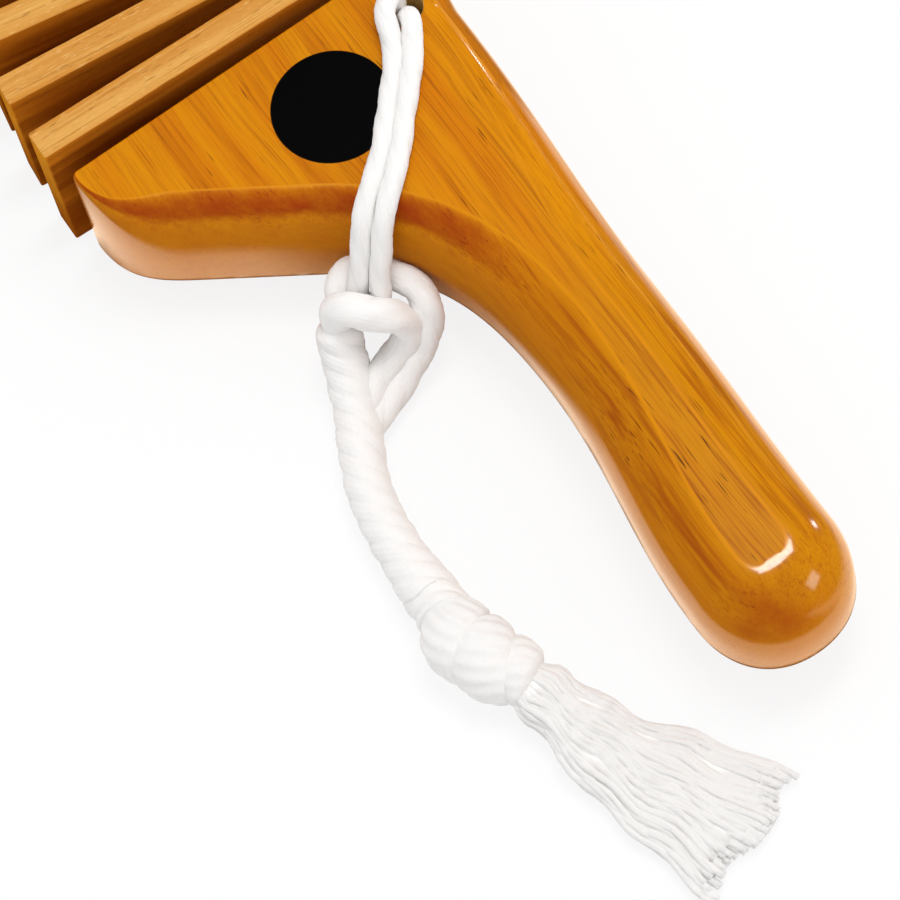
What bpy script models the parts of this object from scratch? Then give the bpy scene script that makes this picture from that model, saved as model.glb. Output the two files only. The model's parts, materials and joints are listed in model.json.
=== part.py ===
"""Slat clapper: a row of hardwood slats threaded on a doubled cord between two boot-shaped handles.

The instrument lies on a table with its row bent into an arch. The slats stand on their long
edges, each free to swing about the cord, and a cotton tassel hangs from the cord at each handle.
"""

import math

import bmesh
import bpy
import numpy as np
from mathutils import Matrix, Vector

MM = 0.001

# Clearances: touching solids, and the cord in its holes
TOUCH_GAP = 0.3 * MM
CORD_CLEARANCE = 0.4 * MM

# Cord, and where it runs: the string line is x = 0 in every piece's own frame
CORD_DIAMETER = 4.2 * MM
STRING_RISE = 8.0 * MM
STRING_GAP = 1.9 * MM

# Slats
SLAT_COUNT = 24
SLAT_LENGTH = 90.0 * MM
SLAT_WIDTH = 40.0 * MM
SLAT_THICKNESS = 7.1 * MM
SLAT_INNER_END = 9.7 * MM
SLAT_EDGE = 0.6 * MM

# Fan of the row as it lies: between slats, and between a handle and its first slat
FAN_REST = math.radians(4.4)
END_FAN_REST = math.radians(2.0)

# Handle: distances across are from the string line, depths are from the flat end
HANDLE_THICKNESS = 34.0 * MM
HANDLE_LENGTH = 175.5 * MM
HEAD_REACH = 77.6 * MM
HEAD_BACK = 11.4 * MM
TOE_DEPTH = 24.2 * MM
TOE_SLOPE = math.radians(35.0)
NECK_DEPTH = 40.6 * MM
WAIST_DEPTH = 92.0 * MM
WAIST_WIDTH = 30.0 * MM
WAIST_BACK = 8.1 * MM
SWELL_DEPTH = 156.0 * MM
SWELL_WIDTH = 35.2 * MM
SWELL_BACK = 6.6 * MM
CORNER_RADIUS = 1.5 * MM
FLAT_END_ROUND = 0.7 * MM
HEAD_ROUND = 8.2 * MM
GRIP_ROUND = 12.5 * MM
TIP_ROUND = 14.8 * MM
ROUND_HEIGHT_RATIO = 2.0
SIDE_LAND = 0.8 * MM
CROSS_HOLE_DEPTH = 10.7 * MM
SIDE_FULLNESS = 0.39
END_FULLNESS = 0.42
ROUND_STEPS = 3

# Tassel
ROPE_DIAMETER = 10.0 * MM
EYE_STRAND_DIAMETER = 4.2 * MM
KNOT_FLATNESS = 0.88
FRINGE_LENGTH = 58.0 * MM

# Derived sizes
SLAT_MIDDLE = SLAT_WIDTH / 2
FACE = SLAT_MIDDLE + HANDLE_THICKNESS / 2
PITCH = SLAT_THICKNESS + STRING_GAP
CORD_HOLE_DIAMETER = CORD_DIAMETER + 2 * CORD_CLEARANCE
CROSS_HOLE_DIAMETER = 2 * CORD_DIAMETER + 3 * CORD_CLEARANCE
LEG_OFFSET = (CORD_DIAMETER + CORD_CLEARANCE) / 2
STRING_BEND = CORD_DIAMETER * 0.62
HALF_TURN = END_FAN_REST + (SLAT_COUNT - 1) * FAN_REST / 2

# Routes chosen by hand, in millimetres in the left handle's frame: across, out of the flat end, and
# height. The loop's heights are from the handle's face, the others from the table.
LOOP_NEAR_LEG = [
    (-1.0, -8.6, 2.0), (-4.2, -11.8, 3.2), (-8.5, -20.6, 2.5), (-16.1, -29.6, 2.5), (-22.7, -36.9, 2.5),
    (-28.7, -42.0, 2.4), (-34.1, -46.2, 0.2), (-37.9, -49.4, -6.2), (-40.5, -51.4, -11.7),
    (-42.2, -52.6, -15.7),
]
LOOP_BIGHT = [(-42.1, -54.3, -18.1), (-40.3, -56.3, -18.1)]
LOOP_FAR_LEG = [
    (-38.6, -56.7, -15.7), (-37.2, -55.2, -11.7), (-34.5, -53.1, -6.2), (-30.6, -49.8, 0.2),
    (-25.3, -45.5, 2.4), (-19.5, -40.1, 2.5), (-12.9, -32.6, 2.5), (-5.1, -23.8, 2.5), (-0.9, -17.2, 3.0),
    (0.0, -13.5, 2.0),
]
ROPE_ROUTE = [
    (-48.9, -53.6, 17.5), (-50.5, -56.8, 12.2), (-52.3, -61.0, 8.6), (-54.4, -65.6, 6.4),
    (-56.5, -70.1, 5.5), (-59.2, -75.2, 5.3), (-63.2, -83.7, 5.3), (-65.3, -92.1, 5.3),
    (-66.4, -101.2, 5.3), (-66.8, -109.8, 5.9), (-67.0, -117.2, 7.4),
]
EYE_FRONT_ROUTE = [
    (-50.6, -54.4, 18.9), (-50.1, -53.5, 20.8), (-48.9, -54.0, 23.4), (-46.5, -56.2, 25.0),
    (-43.2, -58.0, 25.5), (-39.7, -60.1, 24.4), (-37.4, -62.0, 20.4), (-37.7, -63.4, 15.2),
    (-39.8, -63.8, 10.9), (-43.0, -64.6, 8.2), (-46.0, -65.8, 6.6),
]
EYE_BACK_ROUTE = [
    (-46.8, -52.2, 17.1), (-46.3, -51.2, 18.8), (-44.5, -48.4, 20.4), (-40.9, -47.0, 20.6),
    (-37.3, -48.9, 20.2), (-33.9, -52.8, 19.8), (-30.9, -58.6, 19.2), (-30.7, -62.6, 17.6),
    (-32.1, -64.8, 14.0), (-35.4, -66.2, 10.0), (-39.7, -67.6, 7.0), (-43.9, -69.4, 4.6),
    (-47.3, -71.4, 2.9), (-50.7, -73.9, 2.5),
]
KNOT_ROUTE = [(-67.3, -118.6, 8.4), (-68.4, -125.6, 8.9), (-66.7, -133.0, 8.8), (-62.4, -141.2, 8.0)]
FRINGE_ROUTE = [
    (-61.8, -142.6, 6.6), (-59.9, -149.3, 5.2), (-57.1, -160.1, 3.9), (-52.9, -171.8, 3.1),
    (-48.2, -183.0, 2.7), (-42.8, -197.0, 2.4),
]

# Knot radius in millimetres at even steps along its route
KNOT_RADII = [4.8, 6.7, 8.7, 9.7, 9.8, 9.4, 8.4, 6.9, 4.8]
# Fringe section: half width and half height in millimetres at each point of its route
FRINGE_SECTION = [(4.9, 5.2), (6.3, 4.6), (8.4, 3.4), (11.0, 2.7), (13.6, 2.3), (16.0, 2.0)]


def remove_all():
    """Empty the scene."""
    for item in list(bpy.data.objects):
        bpy.data.objects.remove(item, do_unlink=True)


def principled(name, colour, roughness):
    """A plain material with the piece's colour and gloss."""
    material = bpy.data.materials.new(name)
    material.use_nodes = True
    shader = material.node_tree.nodes["Principled BSDF"]
    shader.inputs["Base Color"].default_value = (*colour, 1.0)
    shader.inputs["Roughness"].default_value = roughness
    return material


def add_empty(name, parent=None, location=(0, 0, 0), turn=0.0):
    """An empty that carries pieces, turned about Z."""
    empty = bpy.data.objects.new(name, None)
    empty.empty_display_size = 0.01
    empty.parent = parent
    empty.location = location
    empty.rotation_euler = (0, 0, turn)
    bpy.context.collection.objects.link(empty)
    return empty


def add_piece(name, data, material, parent, location=(0, 0, 0)):
    """A named object on its parent."""
    piece = bpy.data.objects.new(name, data)
    if not data.materials:
        data.materials.append(material)
    piece.parent = parent
    piece.location = location
    bpy.context.collection.objects.link(piece)
    return piece


def closed_mesh(name, vertices, faces, smooth_angle):
    """A mesh whose faces point out, shaded smooth below an angle."""
    mesh = bpy.data.meshes.new(name)
    mesh.from_pydata([tuple(v) for v in vertices], [], faces)
    work = bmesh.new()
    work.from_mesh(mesh)
    bmesh.ops.recalc_face_normals(work, faces=work.faces)
    work.to_mesh(mesh)
    work.free()
    mesh.shade_smooth()
    mesh.set_sharp_from_angle(angle=smooth_angle)
    return mesh


def cylinder_cutter(name, parent, diameter, length, location, rotation):
    """A hidden cylinder that cuts a round hole."""
    mesh = bpy.data.meshes.new(name)
    work = bmesh.new()
    bmesh.ops.create_cone(
        work, cap_ends=True, segments=16, radius1=diameter / 2, radius2=diameter / 2, depth=length,
        matrix=Matrix.Rotation(rotation, 4, "X"),
    )
    work.to_mesh(mesh)
    work.free()
    cutter = bpy.data.objects.new(name, mesh)
    cutter.parent = parent
    cutter.location = location
    cutter.hide_render = True
    cutter.display_type = "WIRE"
    bpy.context.collection.objects.link(cutter)
    return cutter


def cut(piece, cutter):
    """Take a cutter's shape out of a piece."""
    modifier = piece.modifiers.new(cutter.name, "BOOLEAN")
    modifier.operation = "DIFFERENCE"
    modifier.object = cutter


def smooth_route(points, per_span):
    """Points on a Catmull-Rom curve through a route, with per_span steps between its points."""
    route = np.array(points, dtype=float)
    padded = np.vstack([2 * route[0] - route[1], route, 2 * route[-1] - route[-2]])
    result = []
    for i in range(len(route) - 1):
        a, b, c, d = padded[i : i + 4]
        for t in np.arange(per_span) / per_span:
            result.append(
                0.5 * (2 * b + (c - a) * t + (2 * a - 5 * b + 4 * c - d) * t**2 + (3 * b - a - 3 * c + d) * t**3)
            )
    result.append(route[-1])
    return np.array(result)


def add_tube(name, points, diameter, material, parent):
    """A round cord along points, with closed ends."""
    curve = bpy.data.curves.new(name, "CURVE")
    curve.dimensions = "3D"
    curve.bevel_depth = diameter / 2
    curve.bevel_resolution = 2
    curve.use_fill_caps = True
    spline = curve.splines.new("POLY")
    spline.points.add(len(points) - 1)
    for point, place in zip(spline.points, points):
        point.co = (*place, 1.0)
    return add_piece(name, curve, material, parent)


def in_metres(points, side, base=0.0):
    """Route points in metres, mirrored for the right handle (side -1), with heights above base."""
    return [(x * MM, side * y * MM, base + z * MM) for x, y, z in points]


def bezier(start, start_heading, end, end_heading, fullness, steps):
    """Points and headings on a curve that leaves and arrives at given headings, without its last point."""
    reach = fullness * math.dist(start, end)
    a = np.array(start)
    d = np.array(end)
    b = a + reach * np.array([math.cos(start_heading), math.sin(start_heading)])
    c = d - reach * np.array([math.cos(end_heading), math.sin(end_heading)])
    t = (np.arange(steps) / steps)[:, None]
    points = a * (1 - t) ** 3 + 3 * b * t * (1 - t) ** 2 + 3 * c * t**2 * (1 - t) + d * t**3
    slopes = (b - a) * (1 - t) ** 2 + 2 * (c - b) * t * (1 - t) + (d - c) * t**2
    return points, np.arctan2(slopes[:, 1], slopes[:, 0])


def handle_outline():
    """Plan outline of a handle, counterclockwise, with its heading and edge rounding at each point."""
    down, across, up, back = -math.pi / 2, 0.0, math.pi / 2, math.pi
    toe_run = (TOE_DEPTH - CORNER_RADIUS) * math.tan((math.pi / 2 - TOE_SLOPE) / 2)
    toe_x = -HEAD_REACH + toe_run
    neck_x = toe_x + (NECK_DEPTH - TOE_DEPTH) / math.tan(TOE_SLOPE)
    tip_x = SWELL_BACK - SWELL_WIDTH / 2
    head_back_depth = CROSS_HOLE_DEPTH + CROSS_HOLE_DIAMETER / 2
    # Each knot: place, heading, edge rounding, fullness and steps of the curve to the next knot
    knots = [
        ((-HEAD_REACH + CORNER_RADIUS, 0.0), -back, FLAT_END_ROUND, SIDE_FULLNESS, 4),
        ((-HEAD_REACH, -CORNER_RADIUS), down, FLAT_END_ROUND, SIDE_FULLNESS, 7),
        ((toe_x, -TOE_DEPTH), -TOE_SLOPE, HEAD_ROUND, SIDE_FULLNESS, 3),
        ((neck_x, -NECK_DEPTH), -TOE_SLOPE, HEAD_ROUND, SIDE_FULLNESS, 10),
        ((WAIST_BACK - WAIST_WIDTH, -WAIST_DEPTH), down, GRIP_ROUND, SIDE_FULLNESS, 7),
        ((SWELL_BACK - SWELL_WIDTH, -SWELL_DEPTH), down, GRIP_ROUND, END_FULLNESS, 8),
        ((tip_x, -HANDLE_LENGTH), across, TIP_ROUND, END_FULLNESS, 8),
        ((SWELL_BACK, -SWELL_DEPTH), up, GRIP_ROUND, SIDE_FULLNESS, 5),
        ((WAIST_BACK, -WAIST_DEPTH), up, GRIP_ROUND, SIDE_FULLNESS, 7),
        ((HEAD_BACK, -head_back_depth), up, HEAD_ROUND, SIDE_FULLNESS, 4),
        ((HEAD_BACK, -CORNER_RADIUS), up, FLAT_END_ROUND, SIDE_FULLNESS, 4),
        ((HEAD_BACK - CORNER_RADIUS, 0.0), back, FLAT_END_ROUND, SIDE_FULLNESS, 3),
    ]
    points, headings, roundings = [], [], []
    for knot, following in zip(knots, knots[1:] + knots[:1]):
        place, heading, rounding, fullness, steps = knot
        span, slopes = bezier(place, heading, following[0], following[1], fullness, steps)
        points.append(span)
        headings.append(slopes)
        share = np.arange(steps) / steps
        ease = share * share * (3 - 2 * share)
        roundings.append(rounding + (following[2] - rounding) * ease)
    return np.vstack(points), np.hstack(headings), np.hstack(roundings)


def handle_mesh(name, side):
    """A handle: its outline drawn in and lifted round both faces, which are flat, in quarter ellipses."""
    points, headings, roundings = handle_outline()
    lifts = np.minimum(roundings * ROUND_HEIGHT_RATIO, (HANDLE_THICKNESS - SIDE_LAND) / 2)
    inward = np.stack([-np.sin(headings), np.cos(headings)], axis=1)
    count = len(points)
    rings = []
    for face_sign in (-1, 1):
        angles = np.linspace(0, math.pi / 2, ROUND_STEPS + 1)
        for angle in angles[::-1] if face_sign < 0 else angles:
            plan = points + inward * (roundings * (1 - math.cos(angle)))[:, None]
            height = SLAT_MIDDLE + face_sign * (HANDLE_THICKNESS / 2 - lifts * (1 - math.sin(angle)))
            rings.append(np.column_stack([plan[:, 0], side * plan[:, 1], height]))
    faces = [list(range(count)), list(range((len(rings) - 1) * count, len(rings) * count))]
    for ring in range(len(rings) - 1):
        for i in range(count):
            j = (i + 1) % count
            low, high = ring * count, (ring + 1) * count
            faces.append([low + i, low + j, high + j, high + i])
    return closed_mesh(name, np.vstack(rings), faces, math.radians(40))


def add_handle(name, frame, side, material):
    """A handle with its cross hole and the two bores that lead the cord into it."""
    handle = add_piece(name, handle_mesh(name, side), material, frame)
    hole_y = -side * CROSS_HOLE_DEPTH
    hole = cylinder_cutter(
        name + "_cross_hole", frame, CROSS_HOLE_DIAMETER, 2 * HANDLE_THICKNESS, (0, hole_y, SLAT_MIDDLE), 0.0
    )
    cut(handle, hole)
    for rise, label in ((STRING_RISE, "upper"), (-STRING_RISE, "lower")):
        bore = cylinder_cutter(
            f"{name}_{label}_bore", frame, CORD_HOLE_DIAMETER, 2 * CROSS_HOLE_DEPTH,
            (0, 0, SLAT_MIDDLE + rise), math.pi / 2,
        )
        cut(handle, bore)
    return handle


def add_slat(name, hinge, material):
    """A slat with eased edges and two cord holes, standing on its long edge."""
    mesh = bpy.data.meshes.new(name)
    work = bmesh.new()
    bmesh.ops.create_cube(work, size=1.0)
    bmesh.ops.scale(work, vec=(SLAT_LENGTH, SLAT_THICKNESS, SLAT_WIDTH), verts=work.verts)
    bmesh.ops.bevel(work, geom=work.edges[:], offset=SLAT_EDGE, segments=1, affect="EDGES")
    work.to_mesh(mesh)
    work.free()
    centre = (SLAT_INNER_END - SLAT_LENGTH / 2, PITCH / 2, SLAT_MIDDLE)
    slat = add_piece(name, mesh, material, hinge, centre)
    for rise, label in ((STRING_RISE, "upper"), (-STRING_RISE, "lower")):
        hole = cylinder_cutter(
            f"{name}_{label}_hole", hinge, CORD_HOLE_DIAMETER, 2 * SLAT_THICKNESS,
            (0, PITCH / 2, SLAT_MIDDLE + rise), math.pi / 2,
        )
        cut(slat, hole)
    return slat


def row_turns():
    """Fan angle at each joint of the row, from the left handle to the right one."""
    return [END_FAN_REST] + [FAN_REST] * (SLAT_COUNT - 1) + [END_FAN_REST]


def row_matrices():
    """Place of each joint of the row in the left handle's frame, and last the right handle's frame."""
    place = Matrix.Translation((0, STRING_GAP / 2, 0))
    places = []
    for turn in row_turns():
        place = place @ Matrix.Rotation(-turn, 4, "Z")
        places.append(place)
        place = place @ Matrix.Translation((0, PITCH, 0))
    places.append(places[-1] @ Matrix.Translation((0, STRING_GAP / 2, 0)))
    return places


def head_turn(leg_y, height, side):
    """Points of a string in a head, from its cut end in the cross hole to its bore."""
    corner = STRING_BEND * (1 - math.sqrt(0.5))
    return [
        (0, side * leg_y, FACE - CORD_DIAMETER),
        (0, side * leg_y, height + STRING_BEND),
        (0, side * (leg_y + corner), height + corner),
        (0, side * (leg_y + STRING_BEND), height),
    ]


def add_string(name, rise, leg_y, frame, material):
    """One run of the cord from head to head, bent a little in each gap."""
    height = SLAT_MIDDLE + rise
    places = row_matrices()
    left = [Vector(p) for p in head_turn(leg_y, height, 1)]
    right = [places[-1] @ Vector(p) for p in head_turn(leg_y, height, -1)]
    middle = [place @ Vector((0, 0, height)) for place in places[:-1]]
    return add_tube(name, left + middle + right[::-1], CORD_DIAMETER, material, frame)


def add_loop(name, frame, side, material):
    """The doubled end of the cord: out of the cross hole, over the face and down to its bight."""
    start = FACE - CORD_DIAMETER + TOUCH_GAP
    near_y = side * (-CROSS_HOLE_DEPTH + LEG_OFFSET)
    far_y = side * (-CROSS_HOLE_DEPTH - LEG_OFFSET)
    route = [(0, near_y, start), (0, near_y, start + CORD_DIAMETER / 2)]
    route += in_metres(LOOP_NEAR_LEG + LOOP_BIGHT + LOOP_FAR_LEG, side, FACE)
    route += [(0, far_y, start + CORD_DIAMETER / 2), (0, far_y, start)]
    return add_tube(name, smooth_route(route, 2), CORD_DIAMETER, material, frame)


def lofted_mesh(name, rings):
    """A closed skin over rings of equal size."""
    count = len(rings[0])
    faces = [list(range(count)), list(range((len(rings) - 1) * count, len(rings) * count))]
    for ring in range(len(rings) - 1):
        for i in range(count):
            j = (i + 1) % count
            low, high = ring * count, (ring + 1) * count
            faces.append([low + i, low + j, high + j, high + i])
    return closed_mesh(name, np.vstack(rings), faces, math.radians(50))


def section_rings(route, sections, sides):
    """Elliptic rings along a route, each upright and square to it."""
    route = np.array(route)
    headings = np.gradient(route, axis=0)
    headings[:, 2] = 0.0
    headings /= np.linalg.norm(headings, axis=1)[:, None]
    angles = np.arange(sides) * 2 * math.pi / sides
    rings = []
    for centre, heading, (half_width, half_height) in zip(route, headings, sections):
        across = np.array([-heading[1], heading[0], 0.0])
        ring = centre + np.outer(np.cos(angles) * half_width, across)
        ring[:, 2] += np.sin(angles) * half_height
        rings.append(ring)
    return rings


def add_knot(name, frame, side, material):
    """The overhand knot: a round lump along a bent line, a little flat, that lies on the table."""
    radii = np.array(KNOT_RADII) * MM
    line = smooth_route(in_metres(KNOT_ROUTE, side), 8)
    route = line[np.linspace(0, len(line) - 1, len(radii)).round().astype(int)]
    route[:, 2] = np.maximum(route[:, 2], radii * KNOT_FLATNESS + TOUCH_GAP)
    sections = [(radius, radius * KNOT_FLATNESS) for radius in radii]
    return add_piece(name, lofted_mesh(name, section_rings(route, sections, 14)), material, frame)


def add_fringe(name, frame, side, material):
    """The combed-out end of the rope: a flat fan that widens to its cut end."""
    route = smooth_route(in_metres(FRINGE_ROUTE, side), 2)
    run = np.linalg.norm(np.diff(route, axis=0), axis=1).sum()
    route = route[0] + (route - route[0]) * [FRINGE_LENGTH / run, FRINGE_LENGTH / run, 1.0]
    sections = smooth_route([(w * MM, h * MM) for w, h in FRINGE_SECTION], 2)
    return add_piece(name, lofted_mesh(name, section_rings(route, sections, 14)), material, frame)


def add_tassel(name, frame, side, material):
    """A tassel: rope, the two strands of its eye, its knot and its fringe."""
    add_tube(f"{name}_rope", smooth_route(in_metres(ROPE_ROUTE, side), 2), ROPE_DIAMETER, material, frame)
    for label, eye_route in (("front", EYE_FRONT_ROUTE), ("back", EYE_BACK_ROUTE)):
        route = smooth_route(in_metres(eye_route, side), 2)
        add_tube(f"{name}_eye_{label}", route, EYE_STRAND_DIAMETER, material, frame)
    add_knot(f"{name}_knot", frame, side, material)
    add_fringe(f"{name}_fringe", frame, side, material)


def centre_on_table(assembly, pieces):
    """Move the assembly so that the wooden pieces' box stands centred on the origin."""
    bpy.context.view_layer.update()
    places = np.array([piece.matrix_world @ v.co for piece in pieces for v in piece.data.vertices])
    low, high = places.min(axis=0), places.max(axis=0)
    assembly.location = (-(low[0] + high[0]) / 2, -(low[1] + high[1]) / 2, 0)
    bpy.context.view_layer.update()


def main():
    """Build the clapper."""
    remove_all()
    handle_wood = principled("handle_wood", (0.62, 0.27, 0.03), 0.12)
    slat_wood = principled("slat_wood", (0.60, 0.33, 0.10), 0.4)
    cotton = principled("cotton", (0.85, 0.84, 0.80), 0.9)

    assembly = add_empty("clapper")
    left_frame = add_empty("left_frame", assembly, turn=HALF_TURN - math.pi / 2)
    wood = [add_handle("left_handle", left_frame, 1, handle_wood)]
    carrier, step = left_frame, STRING_GAP / 2
    turns = row_turns()
    for number, turn in enumerate(turns[:-1], start=1):
        carrier = add_empty(f"hinge_{number:02d}", carrier, (0, step, 0), -turn)
        wood.append(add_slat(f"slat_{number:02d}", carrier, slat_wood))
        step = PITCH
    right_hinge = add_empty("right_handle_hinge", carrier, (0, step, 0), -turns[-1])
    right_frame = add_empty("right_frame", right_hinge, (0, STRING_GAP / 2, 0))
    wood.append(add_handle("right_handle", right_frame, -1, handle_wood))

    add_string("string_upper", STRING_RISE, -CROSS_HOLE_DEPTH + LEG_OFFSET, left_frame, cotton)
    add_string("string_lower", -STRING_RISE, -CROSS_HOLE_DEPTH - LEG_OFFSET, left_frame, cotton)
    for name, frame, side in (("left", left_frame, 1), ("right", right_frame, -1)):
        add_loop(f"{name}_loop", frame, side, cotton)
        add_tassel(f"{name}_tassel", frame, side, cotton)
    centre_on_table(assembly, wood)


main()
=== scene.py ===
"""Looks for the slat clapper: lacquered handles, a row of slats, cotton cord and two tassels.

Every piece is worked out in its own part's frame, where the string line is x = 0 and +y points out of
the left handle's flat end. That part's placement then carries it into the row's frame.
"""

import json
import logging
import math
from dataclasses import dataclass
from enum import Enum

import bpy
import numpy as np
from mathutils import Matrix, Vector

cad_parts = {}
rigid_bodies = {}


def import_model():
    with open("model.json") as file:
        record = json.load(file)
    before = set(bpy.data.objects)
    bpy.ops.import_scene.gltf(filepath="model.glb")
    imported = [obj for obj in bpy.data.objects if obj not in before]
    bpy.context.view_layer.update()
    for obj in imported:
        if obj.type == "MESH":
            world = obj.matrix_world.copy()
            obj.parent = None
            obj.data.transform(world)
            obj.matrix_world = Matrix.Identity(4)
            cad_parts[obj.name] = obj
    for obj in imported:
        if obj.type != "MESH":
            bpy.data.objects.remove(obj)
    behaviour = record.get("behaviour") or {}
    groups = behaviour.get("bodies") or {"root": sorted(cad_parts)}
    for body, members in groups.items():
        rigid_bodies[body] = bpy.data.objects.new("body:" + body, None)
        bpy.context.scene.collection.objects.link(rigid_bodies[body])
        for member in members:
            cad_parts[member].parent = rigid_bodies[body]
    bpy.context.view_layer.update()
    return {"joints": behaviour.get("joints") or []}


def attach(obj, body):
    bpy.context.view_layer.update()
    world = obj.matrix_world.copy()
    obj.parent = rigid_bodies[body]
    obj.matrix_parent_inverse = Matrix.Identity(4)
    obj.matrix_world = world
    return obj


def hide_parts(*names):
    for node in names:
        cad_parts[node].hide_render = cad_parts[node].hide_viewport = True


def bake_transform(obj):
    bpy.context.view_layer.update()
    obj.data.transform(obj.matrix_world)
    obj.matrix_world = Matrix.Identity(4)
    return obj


LOG = logging.getLogger("clapper")
MM = 0.001
TAU = 2 * math.pi
Array = np.ndarray
Colour = tuple[float, float, float]
Spans = tuple[float, float, float]
Point = tuple[float, float, float]
Route = tuple[Point, ...]


def smooth_step(value: Array, low: Array | float, high: Array | float) -> Array:
    """A smooth step from 0 at low to 1 at high: t^2 (3 - 2t), with t clipped to 0..1."""
    t = np.clip((value - low) / (high - low), 0.0, 1.0)
    return t * t * (3 - 2 * t)


class Side(Enum):
    """The two ends of the instrument; the right end mirrors the left one's y."""

    LEFT = 1
    RIGHT = -1

    @property
    def label(self) -> str:
        """The end's name, as pieces and nodes carry it."""
        return self.name.lower()


@dataclass(frozen=True)
class Placement:
    """A turn about Z and a shift that carry a part's own frame into the row's frame."""

    turn: float
    x: float
    y: float

    def world(self, points: Array) -> Array:
        """Points of the part's frame, last axis x, y, z, in the row's frame."""
        return points @ self._rotation().T + np.array([self.x, self.y, 0.0])

    def local(self, points: Array) -> Array:
        """Points of the row's frame in the part's frame."""
        return (points - np.array([self.x, self.y, 0.0])) @ self._rotation()

    def then(self, ahead: float, turn: float) -> "Placement":
        """The placement a distance ahead along this one's y, turned further about Z."""
        x, y, _ = self.world(np.array([0.0, ahead, 0.0]))
        return Placement(self.turn + turn, float(x), float(y))

    def _rotation(self) -> Array:
        """Turn about Z as a matrix."""
        c, s = math.cos(self.turn), math.sin(self.turn)
        return np.array([[c, -s, 0.0], [s, c, 0.0], [0.0, 0.0, 1.0]])


class Line:
    """Curves through given points, and frames along them."""

    upright = 0.9

    @staticmethod
    def through(points: Array, per_span: int) -> Array:
        """Catmull-Rom curve through points.

        Between points b and c it is the cubic whose end slopes are (c - a) / 2 and (d - b) / 2.

        Args:
            points: Points that the curve passes through.
            per_span: Steps between two points.

        Returns:
            Points on the curve.
        """
        route = np.asarray(points, dtype=float)
        padded = np.vstack([2 * route[0] - route[1], route, 2 * route[-1] - route[-2]])
        a, b, c, d = (padded[i : len(route) - 1 + i, None, :] for i in range(4))
        t = (np.arange(per_span) / per_span)[None, :, None]
        square, cube = 2 * a - 5 * b + 4 * c - d, 3 * b - a - 3 * c + d
        spans = 0.5 * (2 * b + (c - a) * t + square * t**2 + cube * t**3)
        return np.vstack([spans.reshape(-1, route.shape[1]), route[-1:]])

    @staticmethod
    def run(paths: Array) -> Array:
        """Length along each path at each of its points, in the paths' own unit."""
        steps = np.linalg.norm(np.diff(paths, axis=-2), axis=-1)
        return np.concatenate([np.zeros_like(steps[..., :1]), np.cumsum(steps, axis=-1)], axis=-1)

    @staticmethod
    def spaced(path: Array, step: float) -> Array:
        """The same line with its points evenly apart.

        Args:
            path: Points on the line.
            step: Distance wanted between points.

        Returns:
            Points about that far apart, both ends kept.
        """
        run = Line.run(path)
        at = np.linspace(0.0, run[-1], max(2, round(run[-1] / step) + 1))
        return np.stack([np.interp(at, run, column) for column in path.T], axis=1)

    @staticmethod
    def frames(paths: Array) -> tuple[Array, Array]:
        """Two unit vectors square to each path, carried along it with no twist.

        Args:
            paths: Array of paths, stations and coordinates.

        Returns:
            The first vector and the second one, which is the heading times the first.
        """
        headings = np.gradient(paths, axis=1)
        headings /= np.linalg.norm(headings, axis=2, keepdims=True)
        steep = np.abs(headings[:, :1, 2:]) > Line.upright
        carried = np.where(steep, [1.0, 0.0, 0.0], [0.0, 0.0, 1.0])[:, 0]
        firsts = np.empty_like(paths)
        for station in range(paths.shape[1]):
            heading = headings[:, station]
            carried = carried - heading * np.sum(carried * heading, axis=1, keepdims=True)
            carried = carried / np.linalg.norm(carried, axis=1, keepdims=True)
            firsts[:, station] = carried
        return firsts, np.cross(headings, firsts)

    @staticmethod
    def waver(along: Array, spans: tuple[float, ...], seed: int) -> Array:
        """A slow uneven wave from -1 to 1: the mean of sines of the given spans with seeded starts."""
        starts = np.random.default_rng(seed).uniform(0, TAU, len(spans))
        return np.mean([np.sin(TAU * along / span + start) for span, start in zip(spans, starts)], axis=0)


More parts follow.
